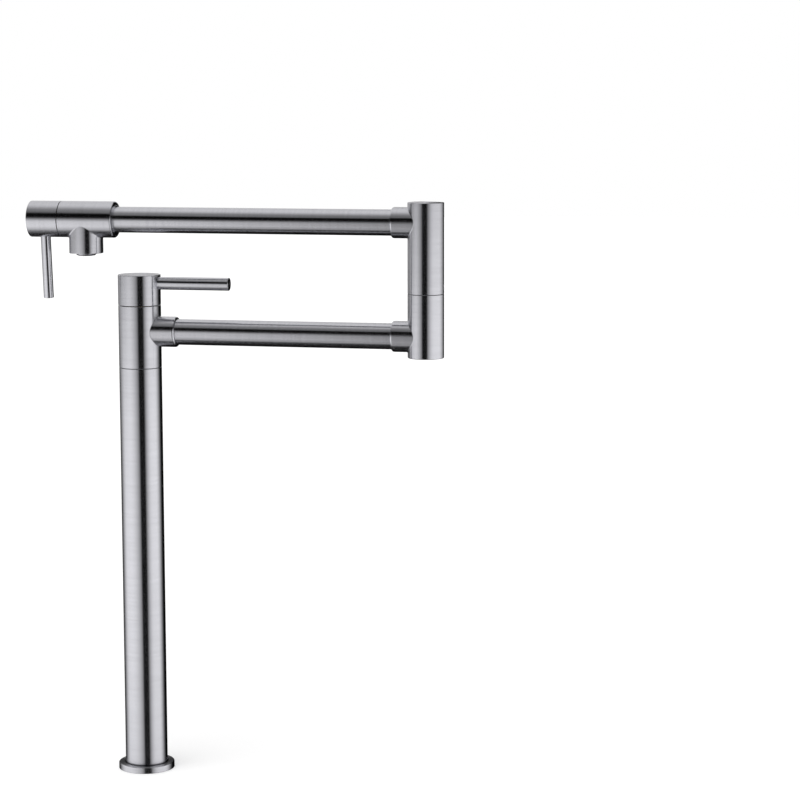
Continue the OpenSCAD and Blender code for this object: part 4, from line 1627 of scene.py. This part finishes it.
@dataclass
class Tent:
    """The light tent, a closed round room that only mirrors see.

    Angles, called turn, are in degrees from -Y towards +X, and sizes are in metres. On the
    camera's side the wall is dark from slot_left to slot_right.

    Attributes:
        centre: Middle of the tent.
        radius: Its radius.
        low: Height of its bottom.
        high: Height of its roof.
        slot_left: Where the light on the slot's left starts.
        slot_right: Where the light on its right starts.
        faint: Light of its darkest parts.
    """

    centre: tuple[float, float] = (0.137, 0.0)
    radius: float = 0.8
    low: float = -0.8
    high: float = 1.6
    slot_left: float = -1.0
    slot_right: float = 26.5
    faint: float = 0.004

    def sides(self, turn: Array, z: Array) -> Array:
        """Light of the wall on both sides of the slot.

        Formula: on each side it grows with a power of the sine of the angle from the
        slot, and fades out behind. Low on the left it grows sooner and stays dimmer.
        It fades out upwards, lower on the far left and higher on the far right, and
        to a part downwards.

        Args:
            turn: Angles of the points.
            z: Their heights.

        Returns:
            The light at each.
        """
        low = rise(-z, -0.05, 0.35)
        left = swell(self.slot_left - turn, 60) ** (0.69 - 0.35 * low)
        left *= (1.13 - 0.21 * low) * (1 - 0.1 * rise(-turn, 60, 100))
        right = swell(turn - self.slot_right, 44) ** 0.8 * 1.08
        side = left * rise(turn, -125, -80) + right * rise(-turn, -156, -98)
        far_left, far_right = rise(-turn, 40, 75), rise(turn, 20, 60)
        up = 1 - rise(z, 0.33 - 0.15 * far_left + 0.10 * far_right, 0.72 + 0.08 * far_right)
        down = 1.12 - 0.5 * rise(-z, 0.0, 0.75)
        return side * up * down

    def rear(self, turn: Array, z: Array) -> Array:
        """Light of the wall behind, and of the band above the sides.

        Formula: behind on the left it grows with height, and a faint glow lies low
        there; behind on the right it grows only near the roof. A dim band in the upper
        part runs round the front.

        Args:
            turn: Angles of the points.
            z: Their heights.

        Returns:
            The light at each.
        """
        left, right, deep = rise(-turn, 85, 120), rise(turn, 112, 135), rise(-turn, 158, 172)
        light = left * 0.8 * rise(z, 0.1 + 0.35 * deep, 0.85 - 0.15 * deep) + right * 0.7 * rise(z, 1.1, 1.4)
        at_column = rise(z, -0.3, -0.1) * (1 - rise(z, 0.05, 0.3))
        light += 0.06 * rise(-turn, 112, 128) * (1 - rise(-turn, 140, 158)) * at_column
        band = (0.17 + 0.13 * rise(-turn, 0, 35)) * rise(z, 1.02, 1.2)
        return band * (1 - left) * (1 - right) + light

    def glow(self, spot: Array) -> Array:
        """Brightness of the tent at points on it.

        Formula: on the wall it is the sum of the sides, the rear and a faint light; the
        roof grows brighter towards the back, and the bottom towards the front.

        Args:
            spot: Points, one row each, in metres.

        Returns:
            The strength of the glow at each.
        """
        x, y, z = spot[:, 0] - self.centre[0], spot[:, 1] - self.centre[1], spot[:, 2]
        turn = np.degrees(np.arctan2(x, -y))
        wall = self.sides(turn, z) + self.rear(turn, z) + self.faint
        roof = 0.30 + 0.56 * rise(y, -0.7, 0.2)
        bottom = 0.02 + 0.62 * np.clip(-y / self.radius, 0, 1) ** 2.2
        inside = np.hypot(x, y) < self.radius * 0.999
        return np.where(inside & (z > 0.5), roof, np.where(inside, bottom, wall))

    def build(self) -> None:
        """Makes the tent: rings of points from the bottom's middle up the wall to the roof's middle."""
        columns, flat_rows, wall_rows = 180, 40, 97
        turn = np.linspace(0, 2 * math.pi, columns + 1)[:-1]
        flat = np.linspace(0.02, 0.99 * self.radius, flat_rows)
        climb = np.linspace(self.low, self.high, wall_rows)
        radii = np.concatenate([flat, np.full(wall_rows, self.radius), flat[::-1]])
        heights = np.concatenate([np.full(flat_rows, self.low), climb, np.full(flat_rows, self.high)])
        grid = polar(radii[:, None], turn, heights[:, None]) + np.array([*self.centre, 0.0])
        index = np.arange(len(radii) * columns).reshape(-1, columns)
        wrapped = np.roll(index, -1, axis=1)
        faces = np.stack([index[:-1], index[1:], wrapped[1:], wrapped[:-1]], -1).reshape(-1, 4)
        spots = grid.reshape(-1, 3)
        mesh = bpy.data.meshes.new("light_tent")
        mesh.from_pydata(spots.tolist(), [], faces.tolist())
        fill(mesh.attributes.new("glow", "FLOAT", "POINT").data, "value", self.glow(spots))
        shader = Shader("tent_cloth")
        cloth = {"Color": (1.0, 0.995, 1.0, 1.0), "Strength": shader.attribute("glow")}
        shader.show(shader.node("Emission", cloth).outputs[0])
        shader.made.cycles.emission_sampling = "NONE"
        mesh.materials.append(shader.made)
        made = placed("light_tent", mesh)
        for ray in ("camera", "diffuse", "transmission", "shadow", "volume_scatter"):
            setattr(made, "visible_" + ray, False)


@dataclass
class Studio:
    """Pale floor, plain soft light, the light tent and the camera.

    Attributes:
        eye: Place of the camera, in metres.
        ahead: Direction in which it looks.
        right: Direction to the right in its picture.
        lens: Focal length for the sensor's width, both in millimetres.
        sensor: The sensor's width.
        level: Strength of the world on what isn't mirrored.
        sun: Strength of the soft lamp above.
        sun_width: Angle over which its light comes, in degrees.
        sun_tilt: Its tilt about X and Y, in degrees.
        floor_hole: Radius of the floor's hole for the shank.
        floor_reach: The floor's outer radius.
        floor_height: Its height, a little under the flange.
        floor_glow: Light of its own that it shows to the camera.
    """

    eye: Triple = (0.7147, -2.1937, 0.6623)
    ahead: Triple = (-0.20555, 0.96961, -0.13268)
    right: Triple = (0.97831, 0.20713, -0.00195)
    lens: float = 110.4
    sensor: float = 36.0
    level: float = 0.62
    sun: float = 1.35
    sun_width: float = 60.0
    sun_tilt: tuple[float, float] = (28.0, -14.0)
    floor_hole: float = 17.0
    floor_reach: float = 9000.0
    floor_height: float = -0.15
    floor_glow: float = 0.3

    def camera(self) -> None:
        """Sets the camera at the photograph's angle."""
        data = bpy.data.cameras.new("camera")
        data.lens, data.sensor_width = self.lens, self.sensor
        data.clip_start, data.clip_end = 0.05, 60.0
        ahead = np.array(self.ahead) / np.linalg.norm(self.ahead)
        right = np.array(self.right) - np.dot(self.right, ahead) * ahead
        right /= np.linalg.norm(right)
        rows = np.eye(4)
        rows[:3] = np.stack([right, np.cross(right, ahead), -ahead, self.eye], 1)
        made = placed("camera", data)
        made.matrix_world = Matrix(rows.tolist())
        bpy.context.scene.camera = made

    def world(self) -> None:
        """White where the camera, a mirror or glass looks, and a plain level of light on everything else."""
        world = bpy.data.worlds.new("studio")
        bpy.context.scene.world = world
        world.use_nodes = True
        world.cycles.sampling_method = "NONE"
        world.node_tree.nodes.clear()
        nodes = Nodes(world.node_tree)
        rays = nodes.node("LightPath").outputs
        seen = nodes.pair("MAXIMUM", rays["Is Camera Ray"], rays["Is Glossy Ray"])
        seen = nodes.pair("MAXIMUM", seen, rays["Is Transmission Ray"])
        white = {"Color": (1.0, 1.0, 1.0, 1.0), "Strength": nodes.spread(seen, self.level, 1.0)}
        nodes.node("OutputWorld", {0: nodes.node("Background", white).outputs[0]})

    def lamp(self) -> None:
        """A wide soft lamp above and in front, which draws the shadow on the floor."""
        data = bpy.data.lights.new("soft_lamp", "SUN")
        data.energy, data.angle = self.sun, math.radians(self.sun_width)
        made = placed("soft_lamp", data)
        made.rotation_euler = (*map(math.radians, self.sun_tilt), 0.0)
        made.visible_glossy = False

    def floor(self) -> None:
        """A pale floor with a hole for the shank, a ring of plain cells just under the flange."""
        height = self.floor_height
        line = Outline(((self.floor_hole, height, SHARP), (self.floor_reach, height, SHARP)))
        skin = turned(line, Place(), np.linspace(0, 2 * math.pi, 65))
        mesh = bpy.data.meshes.new("floor")
        mesh.from_pydata((skin.points * MM).tolist(), [], [f[::-1] for f in skin.faces.tolist()])
        shader = Shader("pale_floor")
        tint = shader.mixed(shader.noise(3, 3), (0.8, 0.8, 0.8), (0.82, 0.82, 0.82))
        shader.feed(shader.surface, {"Base Color": tint, "Roughness": 0.9})
        seen = shader.node("LightPath").outputs["Is Camera Ray"]
        glow = shader.node("Emission", {"Strength": shader.times(seen, self.floor_glow)})
        shader.show(shader.node("AddShader", {0: shader.surface.outputs[0], 1: glow.outputs[0]}).outputs[0])
        mesh.materials.append(shader.made)
        made = placed("floor", mesh)
        made.visible_glossy = False

    def build(self) -> None:
        """Sets up the studio."""
        bpy.context.scene.view_settings.view_transform = "Standard"
        self.world()
        self.lamp()
        self.floor()
        Tent().build()
        self.camera()


def main() -> None:
    """Builds the sub-assemblies in order, then the studio."""
    logging.basicConfig(level=logging.INFO, format="%(message)s")
    lean = math.radians(5)
    cap, seam = lowest("column_cap", "z"), highest("spout_cap", "x")
    bar, thin_bar = 6.0, 4.75
    parts = (
        Column(),
        DeckNut(),
        Head(),
        LeverCap(
            "column_cap_shell",
            "column_lever_bar",
            "column_handle",
            ("column_cap", "column_lever"),
            Place((0.0, 0.0, cap)),
            radius=highest("column_cap", "x"),
            length=highest("column_cap", "z") - cap,
            lever_at=lowest("column_lever", "z") + bar - cap,
            lever_radius=bar,
            lever_reach=highest("column_lever", "x"),
        ),
        ArmTube("lower_arm_pipe", "lower_arm_tube", "lower_arm", LOWER_ARM),
        Elbow(),
        ArmTube("upper_arm_pipe", "upper_arm_tube", "upper_arm", UPPER_ARM),
        Spout(),
        LeverCap(
            "spout_cap_shell",
            "spout_lever_bar",
            "spout_handle",
            ("spout_cap", "spout_lever"),
            Place((seam, 0.0, UPPER_ARM), (0.0, math.sin(lean), -math.cos(lean)), (-1.0, 0.0, 0.0)),
            radius=UPPER_ARM - lowest("spout_cap", "z"),
            length=seam - lowest("spout_cap", "x"),
            lever_at=seam - highest("spout_lever", "x") + thin_bar,
            lever_radius=thin_bar,
            lever_reach=75.2,
        ),
        Workings(),
        Studio(),
    )
    for part in parts:
        part.build()
        LOG.info("built %s", type(part).__name__)


if __name__ == "__main__":
    main()
